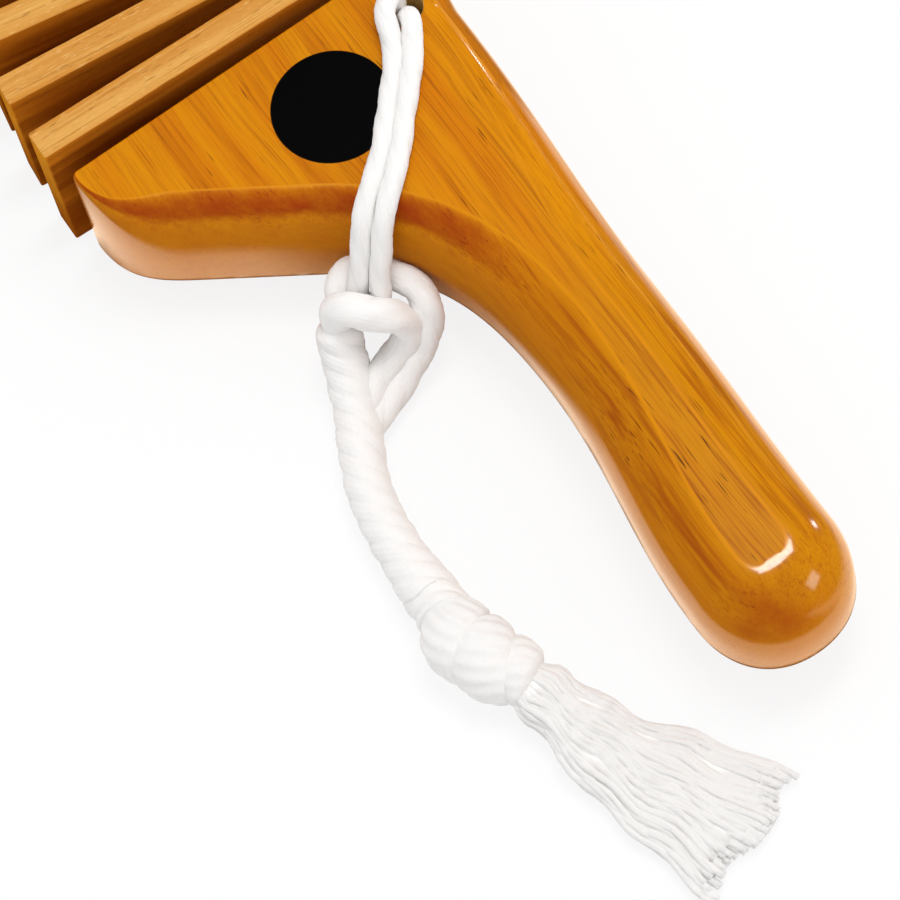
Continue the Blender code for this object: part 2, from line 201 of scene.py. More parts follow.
@dataclass
class Skin:
    """A closed mesh in the making.

    It holds points, faces, each face corner's place along and around a cord, and a plate's shore.
    """

    points: Array
    faces: list[list[int]]
    corners: Array | None = None
    shore: Array | None = None

    @classmethod
    def tubes(cls, paths: Array, radii: Array) -> "Skin":
        """Closed tubes: each ring is its path's point plus radius times (cos a first + sin a second).

        Args:
            paths: Array of paths, stations and coordinates.
            radii: Radius by path, station and step around.

        Returns:
            The skin, with corners that hold the length along and the share of a turn.
        """
        count, stations, sides = radii.shape
        angles = np.arange(sides) * TAU / sides
        firsts, seconds = Line.frames(paths)
        spokes = np.cos(angles)[:, None] * firsts[:, :, None] + np.sin(angles)[:, None] * seconds[:, :, None]
        points = (paths[:, :, None] + radii[..., None] * spokes).reshape(-1, 3)
        tube, station, side = np.meshgrid(
            np.arange(count), np.arange(stations - 1), np.arange(sides), indexing="ij"
        )
        here = (tube * stations + station) * sides
        beside = (side + 1) % sides
        quads = np.stack([here + side, here + beside, here + sides + beside, here + sides + side], axis=-1)
        starts = np.arange(count)[:, None] * stations * sides + np.arange(sides)[::-1]
        ends = (np.arange(1, count + 1)[:, None] * stations - 1) * sides + np.arange(sides)
        faces = quads.reshape(-1, 4).tolist() + starts.tolist() + ends.tolist()
        return cls(points, faces, cls.lay(Line.run(paths), sides))

    @staticmethod
    def lay(run: Array, sides: int) -> Array:
        """Corners of closed tubes: length along and share of a turn on each quad, and zeros on the caps.

        Args:
            run: Length along by tube and station.
            sides: Steps around.

        Returns:
            The two numbers of each face corner, in the order of the tubes' faces.
        """
        side = np.broadcast_to(np.arange(sides), (len(run), run.shape[1] - 1, sides))
        near, far = (np.broadcast_to(part[..., None], side.shape) for part in (run[:, :-1], run[:, 1:]))
        along = np.stack([near, near, far, far], axis=-1)
        around = np.stack([side, side + 1, side + 1, side], axis=-1) / sides
        corners = np.stack([along, around], axis=-1).reshape(-1, 2)
        return np.vstack([corners, np.zeros((2 * len(run) * sides, 2))])

    @classmethod
    def rounded_plate(
        cls, outline: Array, inward: Array, roundings: tuple[Array, Array, Array], faces: tuple[float, float],
        steps: int, inset: float,
    ) -> "Skin":
        """An outline between two faces, with a quarter ellipse at each edge.

        At angle a of the ellipse the outline is drawn in by (1 - cos a) of its width and lies (1 - sin a) of
        its height from the face. Its shore, cos a, runs from 0 at the face's flat part to 1 at the side.

        Args:
            outline: Plan points, counterclockwise.
            inward: Unit vectors into the plan at each point.
            roundings: Width of the edge's ellipse at each point, and its height at the lower and upper face.
            faces: Heights of the lower and the upper face.
            steps: Steps of each rounding.
            inset: Width of the flat rim inside each rounding, which keeps the faces' shading flat.

        Returns:
            The closed skin, with the shore at each point.
        """
        widths, *lifts = roundings
        rise = np.linspace(0, math.pi / 2, steps + 1)
        rise = np.append(rise, rise[-1])
        angles = np.concatenate([-rise[::-1], rise])[:, None]
        drawn = widths * (1 - np.cos(angles))
        drawn[[0, -1]] += inset
        plan = outline + inward * drawn[..., None]
        face, inner = (np.repeat(pair, len(rise))[:, None] for pair in (faces, (1.0, -1.0)))
        height = face + inner * np.repeat(lifts, len(rise), axis=0) * (1 - np.abs(np.sin(angles)))
        points = np.concatenate([plan, height[..., None]], axis=-1)
        skin = cls.loft(points)
        skin.shore = np.repeat(np.cos(angles), height.shape[1], axis=1).ravel()
        return skin

    @classmethod
    def loft(cls, rings: Array) -> "Skin":
        """Rings of points joined one to the next by quads, with a cap on the first and on the last.

        Args:
            rings: Points by ring and place around, counterclockwise as seen from beyond the last ring.

        Returns:
            The closed skin, with no corners yet.
        """
        steps, count = rings.shape[:2]
        ring, place = np.meshgrid(np.arange(steps - 1), np.arange(count), indexing="ij")
        here, beside = ring * count, (place + 1) % count
        quads = np.stack([here + place, here + beside, here + count + beside, here + count + place], axis=-1)
        caps = [list(range(count))[::-1], list(range((steps - 1) * count, steps * count))]
        return cls(rings.reshape(-1, 3), quads.reshape(-1, 4).tolist() + caps)

    @classmethod
    def joined(cls, skins: list["Skin"]) -> "Skin":
        """Several skins as one.

        Args:
            skins: Skins that have corners.

        Returns:
            The skin of them all.
        """
        starts = np.cumsum([0, *(len(skin.points) for skin in skins)])
        faces = [[int(start) + i for i in face] for start, skin in zip(starts, skins) for face in skin.faces]
        points, corners = (np.vstack(rows) for rows in zip(*((skin.points, skin.corners) for skin in skins)))
        return cls(points, faces, corners)

    def mesh(self, name: str) -> bpy.types.Mesh:
        """The skin as a smooth mesh.

        Args:
            name: Name of the mesh.

        Returns:
            The mesh, with the corners as its UV map and the shore as a number at each point.
        """
        mesh = bpy.data.meshes.new(name)
        mesh.from_pydata(self.points.tolist(), [], self.faces)
        if self.corners is not None:
            mesh.uv_layers.new(name="lay").uv.foreach_set("vector", self.corners.ravel().astype(np.float32))
        if self.shore is not None:
            Bench.note(mesh, "shore", self.shore)
        mesh.shade_smooth()
        return mesh


class Bench:
    """Where pieces are put together: objects, holes, attributes and what each piece stands for."""

    flat_area = 50.0 * MM**2

    @staticmethod
    def object(
        name: str, mesh: bpy.types.Mesh, material: bpy.types.Material | None = None
    ) -> bpy.types.Object:
        """An object at the origin for a mesh whose place is in its points.

        Args:
            name: Name of the object.
            mesh: Its mesh.
            material: Its finish, if it has one yet.

        Returns:
            The object, linked to the scene.
        """
        piece = bpy.data.objects.new(name, mesh)
        if material is not None:
            mesh.materials.append(material)
        bpy.context.scene.collection.objects.link(piece)
        return piece

    @staticmethod
    def drilled(name: str, skin: Skin, cutters: list[Skin], sharp: float) -> bpy.types.Mesh:
        """A mesh with other closed skins taken out of it; its large faces are plane and shade flat.

        Args:
            name: Name of the mesh.
            skin: The body.
            cutters: The holes' shapes.
            sharp: Angle in radians above which an edge shows as an edge.

        Returns:
            The finished mesh.
        """
        body = Bench.object(name, skin.mesh(name))
        names = [f"{name}_tool_{i}" for i in range(len(cutters))]
        tools = [Bench.object(label, tool.mesh(label)) for label, tool in zip(names, cutters)]
        for tool in tools:
            modifier = body.modifiers.new(tool.name, "BOOLEAN")
            modifier.operation = "DIFFERENCE"
            modifier.object = tool
        graph = bpy.context.evaluated_depsgraph_get()
        mesh = bpy.data.meshes.new_from_object(body.evaluated_get(graph))
        mesh.name = name
        for item in [body, *tools]:
            data = item.data
            bpy.data.objects.remove(item)
            bpy.data.meshes.remove(data)
        mesh.set_sharp_from_angle(angle=sharp)
        areas = np.empty(len(mesh.polygons))
        mesh.polygons.foreach_get("area", areas)
        mesh.polygons.foreach_set("use_smooth", areas < Bench.flat_area)
        return mesh

    @staticmethod
    def read(mesh: bpy.types.Mesh, field: str) -> Array:
        """A vector at each point of the mesh.

        Args:
            mesh: The mesh.
            field: Either co, the point's place, or normal.

        Returns:
            One row for each point.
        """
        values = np.empty(len(mesh.vertices) * 3)
        mesh.vertices.foreach_get(field, values)
        return values.reshape(-1, 3)

    @staticmethod
    def note(mesh: bpy.types.Mesh, name: str, values: Array) -> None:
        """Write a number or a vector for each point of the mesh.

        Args:
            mesh: The mesh.
            name: The attribute's name, which a finish reads.
            values: One number or three for each point.
        """
        kind, field = ("FLOAT", "value") if values.ndim == 1 else ("FLOAT_VECTOR", "vector")
        attribute = mesh.attributes.new(name, kind, "POINT")
        attribute.data.foreach_set(field, np.ascontiguousarray(values, dtype=np.float32).ravel())

    @staticmethod
    def settle(piece: bpy.types.Object, body: str, slot: str, nodes: tuple[str, ...]) -> bpy.types.Object:
        """Let a piece ride on a body and stand for CAD nodes.

        Args:
            piece: The piece.
            body: The body that it moves with.
            slot: Not used.
            nodes: The CAD nodes that it stands for.

        Returns:
            The piece.
        """
        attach(piece, body)
        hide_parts(*nodes)
        LOG.info("%s: %d faces on %s", piece.name, len(piece.data.polygons), body)
        return piece


class Graph:
    """A material's node tree, with short calls that add a node and join it."""

    def __init__(self, name: str) -> None:
        """Start a material with an output and one shader.

        Args:
            name: The material's name.
        """
        self.material = bpy.data.materials.new(name)
        self.material.use_nodes = True
        self.tree = self.material.node_tree
        self.shader = self.tree.nodes["Principled BSDF"]

    def add(self, kind: str, inputs: dict, **settings: object) -> bpy.types.Node:
        """Add a node.

        Args:
            kind: The node's type without its prefix.
            inputs: Values or sockets by input name or number.
            settings: The node's own properties.

        Returns:
            The node.
        """
        node = self.tree.nodes.new("ShaderNode" + kind)
        for key, value in settings.items():
            setattr(node, key, value)
        for key, value in inputs.items():
            self.join(value, node.inputs[key])
        return node

    def join(self, value: object, socket: bpy.types.NodeSocket) -> None:
        """Link a socket to an input, or set the input to a plain value.

        Args:
            value: The socket or the plain value.
            socket: The input.
        """
        if isinstance(value, bpy.types.NodeSocket):
            self.tree.links.new(value, socket)
        else:
            socket.default_value = value

    def attribute(self, name: str, output: str = "Vector") -> bpy.types.NodeSocket:
        """A piece's own attribute."""
        return self.add("Attribute", {}, attribute_name=name).outputs[output]

    def noise(
        self, vector: bpy.types.NodeSocket, spans: Spans, detail: float, roughness: float = 0.5
    ) -> bpy.types.NodeSocket:
        """Noise whose patches are about so many millimetres along each axis.

        Args:
            vector: Coordinates in metres.
            spans: Patch size in millimetres along x, y and z.
            detail: Octaves of finer noise.
            roughness: Strength of the finer noise.

        Returns:
            The noise, from 0 to 1.
        """
        scale = tuple(1.0 / (span * MM) for span in spans)
        scaled = self.add("VectorMath", {0: vector, 1: scale}, operation="MULTIPLY").outputs[0]
        inputs = {"Vector": scaled, "Scale": 1.0, "Detail": detail, "Roughness": roughness}
        return self.add("TexNoise", inputs).outputs[0]

    def math(self, operation: str, first: object, second: object = 0.0) -> bpy.types.NodeSocket:
        """One step of arithmetic."""
        return self.add("Math", {0: first, 1: second}, operation=operation).outputs[0]

    def times(self, first: object, *others: object) -> bpy.types.NodeSocket:
        """The product of numbers and masks.

        Args:
            first: Number or socket.
            others: The ones that it is multiplied by.

        Returns:
            The product.
        """
        for other in others:
            first = self.math("MULTIPLY", first, other)
        return first

    def ramp(
        self, value: object, low: float, high: float, to_low: float = 0.0, to_high: float = 1.0
    ) -> bpy.types.NodeSocket:
        """A smooth step from to_low at low to to_high at high.

        Args:
            value: The number to step.
            low: Where the step starts.
            high: Where it ends.
            to_low: Result below the step.
            to_high: Result above it.

        Returns:
            The result.
        """
        inputs = {"Value": value, "From Min": low, "From Max": high, "To Min": to_low, "To Max": to_high}
        return self.add("MapRange", inputs, interpolation_type="SMOOTHSTEP").outputs["Result"]

    def mix(self, share: object, first: object, second: object) -> bpy.types.NodeSocket:
        """Blend two colours.

        Args:
            share: Share of the second colour.
            first: Colour or socket.
            second: Colour or socket.

        Returns:
            The blended colour.
        """
        node = self.add("Mix", {}, data_type="RGBA")
        for value, index in ((share, 0), (first, 6), (second, 7)):
            self.join((*value, 1.0) if isinstance(value, tuple) else value, node.inputs[index])
        return node.outputs[2]

    def bump(self, height: bpy.types.NodeSocket, strength: float, distance: float) -> None:
        """Give the shader a bumpy normal of a height times a distance in metres."""
        inputs = {"Strength": strength, "Distance": distance, "Height": height}
        self.join(self.add("Bump", inputs).outputs[0], self.shader.inputs["Normal"])

    def surface(self, **values: object) -> None:
        """Set the shader's inputs.

        Args:
            values: Values or sockets by input name, with _ for a space in it.
        """
        for key, value in values.items():
            is_colour = isinstance(value, tuple) and key.endswith("Color")
            self.join((*value, 1.0) if is_colour else value, self.shader.inputs[key.replace("_", " ")])


@dataclass(frozen=True)
class HandleLacquer:
    """Golden orange stain under clear gloss lacquer with a plain printed disc; its rounded edges carry
    painted shade, darker and redder on the belly side, and a painted highlight line.

    Spans are the sizes of the wood's patches in millimetres, along the handle's x, y and z.
    """

    amber: Colour = (0.665, 0.204, 0.0010)
    honey: Colour = (0.72, 0.262, 0.0012)
    ochre: Colour = (0.565, 0.222, 0.0010)
    umber: Colour = (0.36, 0.080, 0.002)
    russet: Colour = (0.36, 0.042, 0.002)
    bronze: Colour = (0.60, 0.180, 0.002)
    pore: Colour = (0.10, 0.020, 0.003)
    raw: Colour = (0.95, 0.62, 0.20)
    ink: Colour = (0.0004, 0.0004, 0.0004)
    drift_span: Spans = (30.0, 60.0, 30.0)
    drift_reach: float = 5.0 * MM
    band_span: Spans = (5.0, 150.0, 5.0)
    streak_span: Spans = (0.7, 42.0, 0.7)
    line_span: Spans = (0.24, 15.0, 0.24)
    flame_span: Spans = (2.0, 48.0, 2.0)
    dash_span: Spans = (0.45, 8.5, 0.45)
    crowd_span: Spans = (11.0, 34.0, 11.0)
    blotch_span: Spans = (6.0, 14.0, 6.0)
    disc_centre: Point = (-24.75 * MM, -21.4 * MM, 37.0 * MM)
    disc_radius: float = 13.2 * MM
    disc_blur: float = 0.12 * MM
    head_end: float = -52.0 * MM
    neck_end: float = -82.0 * MM
    ochre_end: float = -112.0 * MM
    flame_end: float = -148.0 * MM
    tip_start: float = -160.0 * MM
    tip_end: float = -170.0 * MM

    def material(self) -> bpy.types.Material:
        """Build the finish from the attributes place, grain, shore, belly and raw.

        Returns:
            The material.
        """
        g = Graph("handle_lacquer")
        grain, place = g.attribute("grain"), g.attribute("place")
        depth = g.add("SeparateXYZ", {0: place}).outputs["Y"]
        colour, openness = self.wood(g, grain, depth)
        colour = self.edges(g, colour, grain, depth)
        # Raw wood inside the cross hole, partly real and partly painted light: its colour is made pale to
        # brighten the hole's shaded wall.
        colour = g.mix(g.attribute("raw", "Fac"), colour, self.raw)
        apart = g.add("VectorMath", {0: place, 1: self.disc_centre}, operation="DISTANCE").outputs["Value"]
        disc = g.ramp(apart, self.disc_radius - self.disc_blur, self.disc_radius + self.disc_blur, 1.0, 0.0)
        g.surface(
            Base_Color=g.mix(disc, colour, self.ink), Roughness=0.42, Specular_IOR_Level=0.0,
            Coat_Weight=1.0, Coat_Roughness=0.125, Coat_IOR=1.58,
        )
        g.bump(g.math("SUBTRACT", 1.0, openness), 0.25, 0.06 * MM)
        return g.material

    def wood(
        self, g: Graph, grain: bpy.types.NodeSocket, depth: bpy.types.NodeSocket
    ) -> tuple[bpy.types.NodeSocket, bpy.types.NodeSocket]:
        """Bands, flames, streaks, lines and pores along a grain that wanders a little.

        Args:
            g: The finish's nodes.
            grain: Place in the wood.
            depth: Place along the handle, from its flat end.

        Returns:
            The colour, and how open the grain is.
        """
        drift = g.times(g.noise(grain, self.drift_span, 1.0), self.drift_reach)
        shift = g.add("CombineXYZ", {0: drift}).outputs[0]
        wandering = g.add("VectorMath", {0: grain, 1: shift}, operation="ADD").outputs[0]
        bands = g.noise(wandering, self.band_span, 2.0)
        streaks = g.noise(wandering, self.streak_span, 3.0, 0.6)
        lines = g.noise(wandering, self.line_span, 2.0)
        flames = g.noise(wandering, self.flame_span, 2.0, 0.6)
        dashes = g.noise(wandering, self.dash_span, 1.0)
        crowd = g.noise(grain, self.crowd_span, 1.0)
        colour = g.mix(g.ramp(bands, 0.36, 0.68), self.honey, self.amber)
        colour = g.mix(g.ramp(depth, self.ochre_end, self.head_end, 0.5, 0.0), colour, self.ochre)
        flamed = g.times(
            g.ramp(flames, 0.50, 0.66, 0.0, 0.75), g.ramp(depth, self.neck_end, self.head_end, 1.0, 0.35),
            g.ramp(depth, self.tip_end, self.flame_end),
        )
        colour = g.mix(flamed, colour, self.umber)
        shade = g.times(g.ramp(streaks, 0.46, 0.74), g.ramp(bands, 0.30, 0.62, 0.30, 0.75))
        colour = g.mix(shade, colour, self.umber)
        colour = g.mix(g.ramp(lines, 0.50, 0.76, 0.0, 0.62), colour, self.umber)
        pores = g.times(g.ramp(dashes, 0.67, 0.74), g.ramp(crowd, 0.49, 0.62))
        colour = g.mix(g.times(pores, 0.9), colour, self.pore)
        return colour, g.math("ADD", g.times(lines, 0.4), pores)

    def edges(
        self, g: Graph, colour: bpy.types.NodeSocket, grain: bpy.types.NodeSocket, depth: bpy.types.NodeSocket
    ) -> bpy.types.NodeSocket:
        """Painted shade on the belly side's flank and rounded edges, a painted highlight line along the
        faces' edges, and stain that gathers in the end grain of the tip.

        Args:
            g: The finish's nodes.
            colour: The wood's colour.
            grain: Place in the wood.
            depth: Place along the handle, from its flat end.

        Returns:
            The colour with its edges.
        """
        shore, turned = g.attribute("shore", "Fac"), g.attribute("belly", "Fac")
        blotch = g.noise(grain, self.blotch_span, 3.0, 0.6)
        ragged = g.math("ADD", shore, g.ramp(blotch, 0.25, 0.75, -0.05, 0.05))
        # Painted shade: the belly side's flank is painted a darker bronze, as a side turned away from the
        # lamps.
        flank = g.times(g.ramp(ragged, 0.60, 0.85, 0.0, 0.7), g.ramp(turned, 0.15, 0.40))
        colour = g.mix(flank, colour, self.bronze)
        # Painted highlight: a thin honey line along the edge of each face.
        rim = g.times(g.ramp(shore, 0.0, 0.02), g.ramp(shore, 0.05, 0.09, 0.8, 0.0))
        colour = g.mix(rim, colour, self.honey)
        # Painted shade: the belly side's rounded edges are painted darker and redder, most strongly on the
        # head.
        edge = g.times(
            g.ramp(ragged, 0.03, 0.16), g.ramp(ragged, 0.56, 0.74, 1.0, 0.0), g.ramp(turned, 0.42, 0.75),
            g.ramp(blotch, 0.25, 0.70, 0.62, 1.0), g.ramp(depth, self.neck_end, self.head_end, 0.30, 1.0),
        )
        colour = g.mix(edge, colour, self.russet)
        end = g.times(
            g.ramp(depth, self.tip_end, self.tip_start, 1.0, 0.0), g.ramp(turned, 0.40, 0.62),
            g.ramp(shore, 0.15, 0.4), g.ramp(shore, 0.84, 0.97, 1.0, 0.0),
            g.ramp(blotch, 0.25, 0.72, 0.25, 0.70),
        )
        return g.mix(end, colour, self.russet)


@dataclass(frozen=True)
class SlatFinish:
    """Stained slats with satin finish; their long edges are cut through the stain and stay pale, and their
    sides carry painted shade, darker towards the bottom.

    Spans are the sizes of the wood's patches in millimetres, along the slat's x, y and z.
    """

    pale: Colour = (0.62, 0.275, 0.056)
    cream: Colour = (0.75, 0.395, 0.100)
    fleck: Colour = (0.86, 0.54, 0.21)
    tan: Colour = (0.40, 0.145, 0.022)
    orange: Colour = (0.58, 0.215, 0.026)
    stain: Colour = (0.60, 0.185, 0.011)
    olive: Colour = (0.70, 0.285, 0.020)
    deep: Colour = (0.24, 0.050, 0.003)
    pore: Colour = (0.12, 0.034, 0.005)
    band_span: Spans = (120.0, 3.2, 6.0)
    streak_span: Spans = (34.0, 0.55, 0.55)
    dash_span: Spans = (4.5, 0.32, 0.32)
    tone_span: Spans = (300.0, 300.0, 300.0)
    fleck_span: Spans = (2.4, 0.30, 0.30)
    middle: float = 4.5 * MM
    bleed: tuple[float, float] = (1.4 * MM, 3.5 * MM)
    shade_top: float = 36.0 * MM

    def material(self) -> bpy.types.Material:
        """Build the finish from the attributes place, grain, cut and end.

        Returns:
            The material.
        """
        g = Graph("slat_finish")
        grain = g.attribute("grain")
        bands = g.noise(grain, self.band_span, 2.0)
        streaks = g.noise(grain, self.streak_span, 3.0, 0.6)
        tone = g.noise(grain, self.tone_span, 0.0)
        flecks = g.noise(grain, self.fleck_span, 1.0)
        pores = g.ramp(g.noise(grain, self.dash_span, 1.0), 0.66, 0.78)
        place = g.add("SeparateXYZ", {0: g.attribute("place")}).outputs
        edge = g.mix(g.ramp(bands, 0.35, 0.66), self.cream, self.pale)
        edge = g.mix(g.ramp(streaks, 0.50, 0.74, 0.0, 0.85), edge, self.tan)
        aside = g.math("ABSOLUTE", g.math("SUBTRACT", place["Y"], self.middle))
        bled = g.times(g.ramp(aside, *self.bleed, 0.0, 0.75), g.ramp(bands, 0.30, 0.60, 0.45, 1.0))
        edge = g.mix(bled, edge, self.orange)
        edge = g.mix(g.ramp(flecks, 0.60, 0.74, 0.0, 0.55), edge, self.fleck)
        side = g.mix(g.ramp(bands, 0.32, 0.68), self.stain, self.deep)
        side = g.mix(g.ramp(streaks, 0.50, 0.78, 0.0, 0.7), side, self.deep)
        side = g.mix(g.times(g.attribute("end", "Fac"), 0.7), side, self.olive)
        # Painted shade: the sides are painted darker towards the bottom, up to a set height.
        side = g.mix(g.ramp(place["Z"], 0.0, self.shade_top, 0.8, 0.0), side, self.deep)
        colour = g.mix(g.ramp(g.attribute("cut", "Fac"), 0.25, 0.75), side, edge)
        colour = g.mix(g.ramp(tone, 0.35, 0.65, 0.0, 0.32), colour, self.stain)
        g.surface(
            Base_Color=g.mix(g.times(pores, 0.6), colour, self.pore),
            Roughness=g.ramp(streaks, 0.3, 0.8, 0.42, 0.62), Specular_IOR_Level=0.0,
        )
        g.bump(g.math("SUBTRACT", g.times(streaks, 0.7), pores), 0.5, 0.12 * MM)
        return g.material


@dataclass(frozen=True)
class CottonFinish:
    """Matt white cotton: fibres that follow the lay, a soft sheen and a little light through it.

    Spans are the sizes of its patches in millimetres, along and around, where girth is one turn.
    """

    name: str = "cotton"
    white: Colour = (0.955, 0.94, 0.925)
    shade: Colour = (0.93, 0.905, 0.875)
    through: float = 0.2
    girth: float = 12.0 * MM
    fibre_span: Spans = (2.6, 0.22, 1.0)
    clump_span: Spans = (5.0, 1.1, 1.0)

    def material(self) -> bpy.types.Material:
        """Build the finish from the UV map lay: length along the cord, and share of a turn around it.

        Returns:
            The material.
        """
        g = Graph(self.name)
        lay = g.add("UVMap", {}, uv_map="lay").outputs[0]
        spread = g.add("VectorMath", {0: lay, 1: (1.0, self.girth, 1.0)}, operation="MULTIPLY").outputs[0]
        fibres = g.noise(spread, self.fibre_span, 3.0, 0.6)
        clumps = g.noise(spread, self.clump_span, 2.0)
        colour = g.mix(g.ramp(fibres, 0.35, 0.75, 0.0, 0.7), self.white, self.shade)
        colour = g.mix(g.ramp(clumps, 0.30, 0.72, 0.5, 0.0), colour, self.white)
        g.surface(
            Base_Color=colour, Roughness=0.95, Specular_IOR_Level=0.1,
            Sheen_Weight=0.25, Sheen_Roughness=0.5,
            Subsurface_Weight=self.through, Subsurface_Radius=(1.2, 1.1, 1.0), Subsurface_Scale=1.0 * MM,
        )
        g.bump(g.math("ADD", fibres, g.times(clumps, 0.8)), 0.7, 0.3 * MM)
        return g.material


COMBED = CottonFinish("combed_cotton", (0.985, 0.97, 0.955), (0.955, 0.935, 0.91), 0.0)


@dataclass(frozen=True)
class Lay:
    """How a cord is laid up: strands that touch each other, each with yarns that wind the other way."""

    strands: int
    length: float
    groove: float
    yarns: float
    yarn_length: float
    yarn_height: float

    def section(self, along: Array, sides: int, radius: Array) -> Array:
        """Outline of the twisted strands at each station.

        A strand's circle of radius q stands at distance c from the middle, so its outline is
        c cos p + sqrt(q^2 - c^2 sin^2 p) at angle p from the strand's own middle. Soft strands fill their
        grooves, so that outline is mixed with a plain circle, and yarn ridges are laid over it.

        Args:
            along: Length along the cord at each station.
            sides: Steps around.
            radius: Radius of the cord at each station.

        Returns:
            Radius by station and step around.
        """
        around = np.arange(sides) * TAU / sides
        turn = around + TAU * along[..., None] / self.length
        share = TAU / self.strands
        off = (turn + share / 2) % share - share / 2
        half = math.sin(math.pi / self.strands)
        strand = 1 / (1 + 1 / half)
        centre = strand / half
        lobes = centre * np.cos(off) + np.sqrt(np.maximum(strand**2 - (centre * np.sin(off)) ** 2, 0.0))
        ridges = np.cos(TAU * (self.yarns * off / share - along[..., None] / self.yarn_length))
        return radius[..., None] * (1 - self.groove * (1 - lobes)) + self.yarn_height * ridges


CORD_LAY = Lay(
    strands=3, length=26.0 * MM, groove=0.16, yarns=4.0, yarn_length=30.0 * MM, yarn_height=0.06 * MM
)
ROPE_LAY = Lay(
    strands=4, length=21.0 * MM, groove=0.15, yarns=4.0, yarn_length=9.0 * MM, yarn_height=0.09 * MM
)


@dataclass(frozen=True)
class RowPlan:
    """Sizes of the row, and where each of its parts lies."""

    slat_count: int
    first_hinge: tuple[float, float]
    slat_thickness: float = 7.1 * MM
    string_gap: float = 1.9 * MM
    string_rise: float = 8.0 * MM
    middle: float = 20.0 * MM
    fan: float = math.radians(4.4)
    end_fan: float = math.radians(2.0)

    @property
    def pitch(self) -> float:
        """Distance from joint to joint."""
        return self.slat_thickness + self.string_gap

    @property
    def heights(self) -> tuple[float, float]:
        """Heights of the two runs of the cord."""
        return self.middle + self.string_rise, self.middle - self.string_rise

    def handle(self, side: Side) -> Placement:
        """Where a handle's frame lies.

        Args:
            side: Which end.

        Returns:
            The placement of its flat end, at the string line.
        """
        half_turn = self.end_fan + (self.slat_count - 1) * self.fan / 2
        if side is Side.LEFT:
            start = Placement(half_turn - math.pi / 2, *self.first_hinge)
            return start.then(-self.string_gap / 2, 0.0)
        return self.joints()[-1].then(self.string_gap / 2, 0.0)

    def joints(self) -> list[Placement]:
        """Each joint's frame along the row.

        Returns:
            The placements, each turned with the part that follows it.
        """
        place = self.handle(Side.LEFT).then(self.string_gap / 2, -self.end_fan)
        places = [place]
        for _ in range(self.slat_count - 1):
            places.append(places[-1].then(self.pitch, -self.fan))
        places.append(places[-1].then(self.pitch, -self.end_fan))
        return places


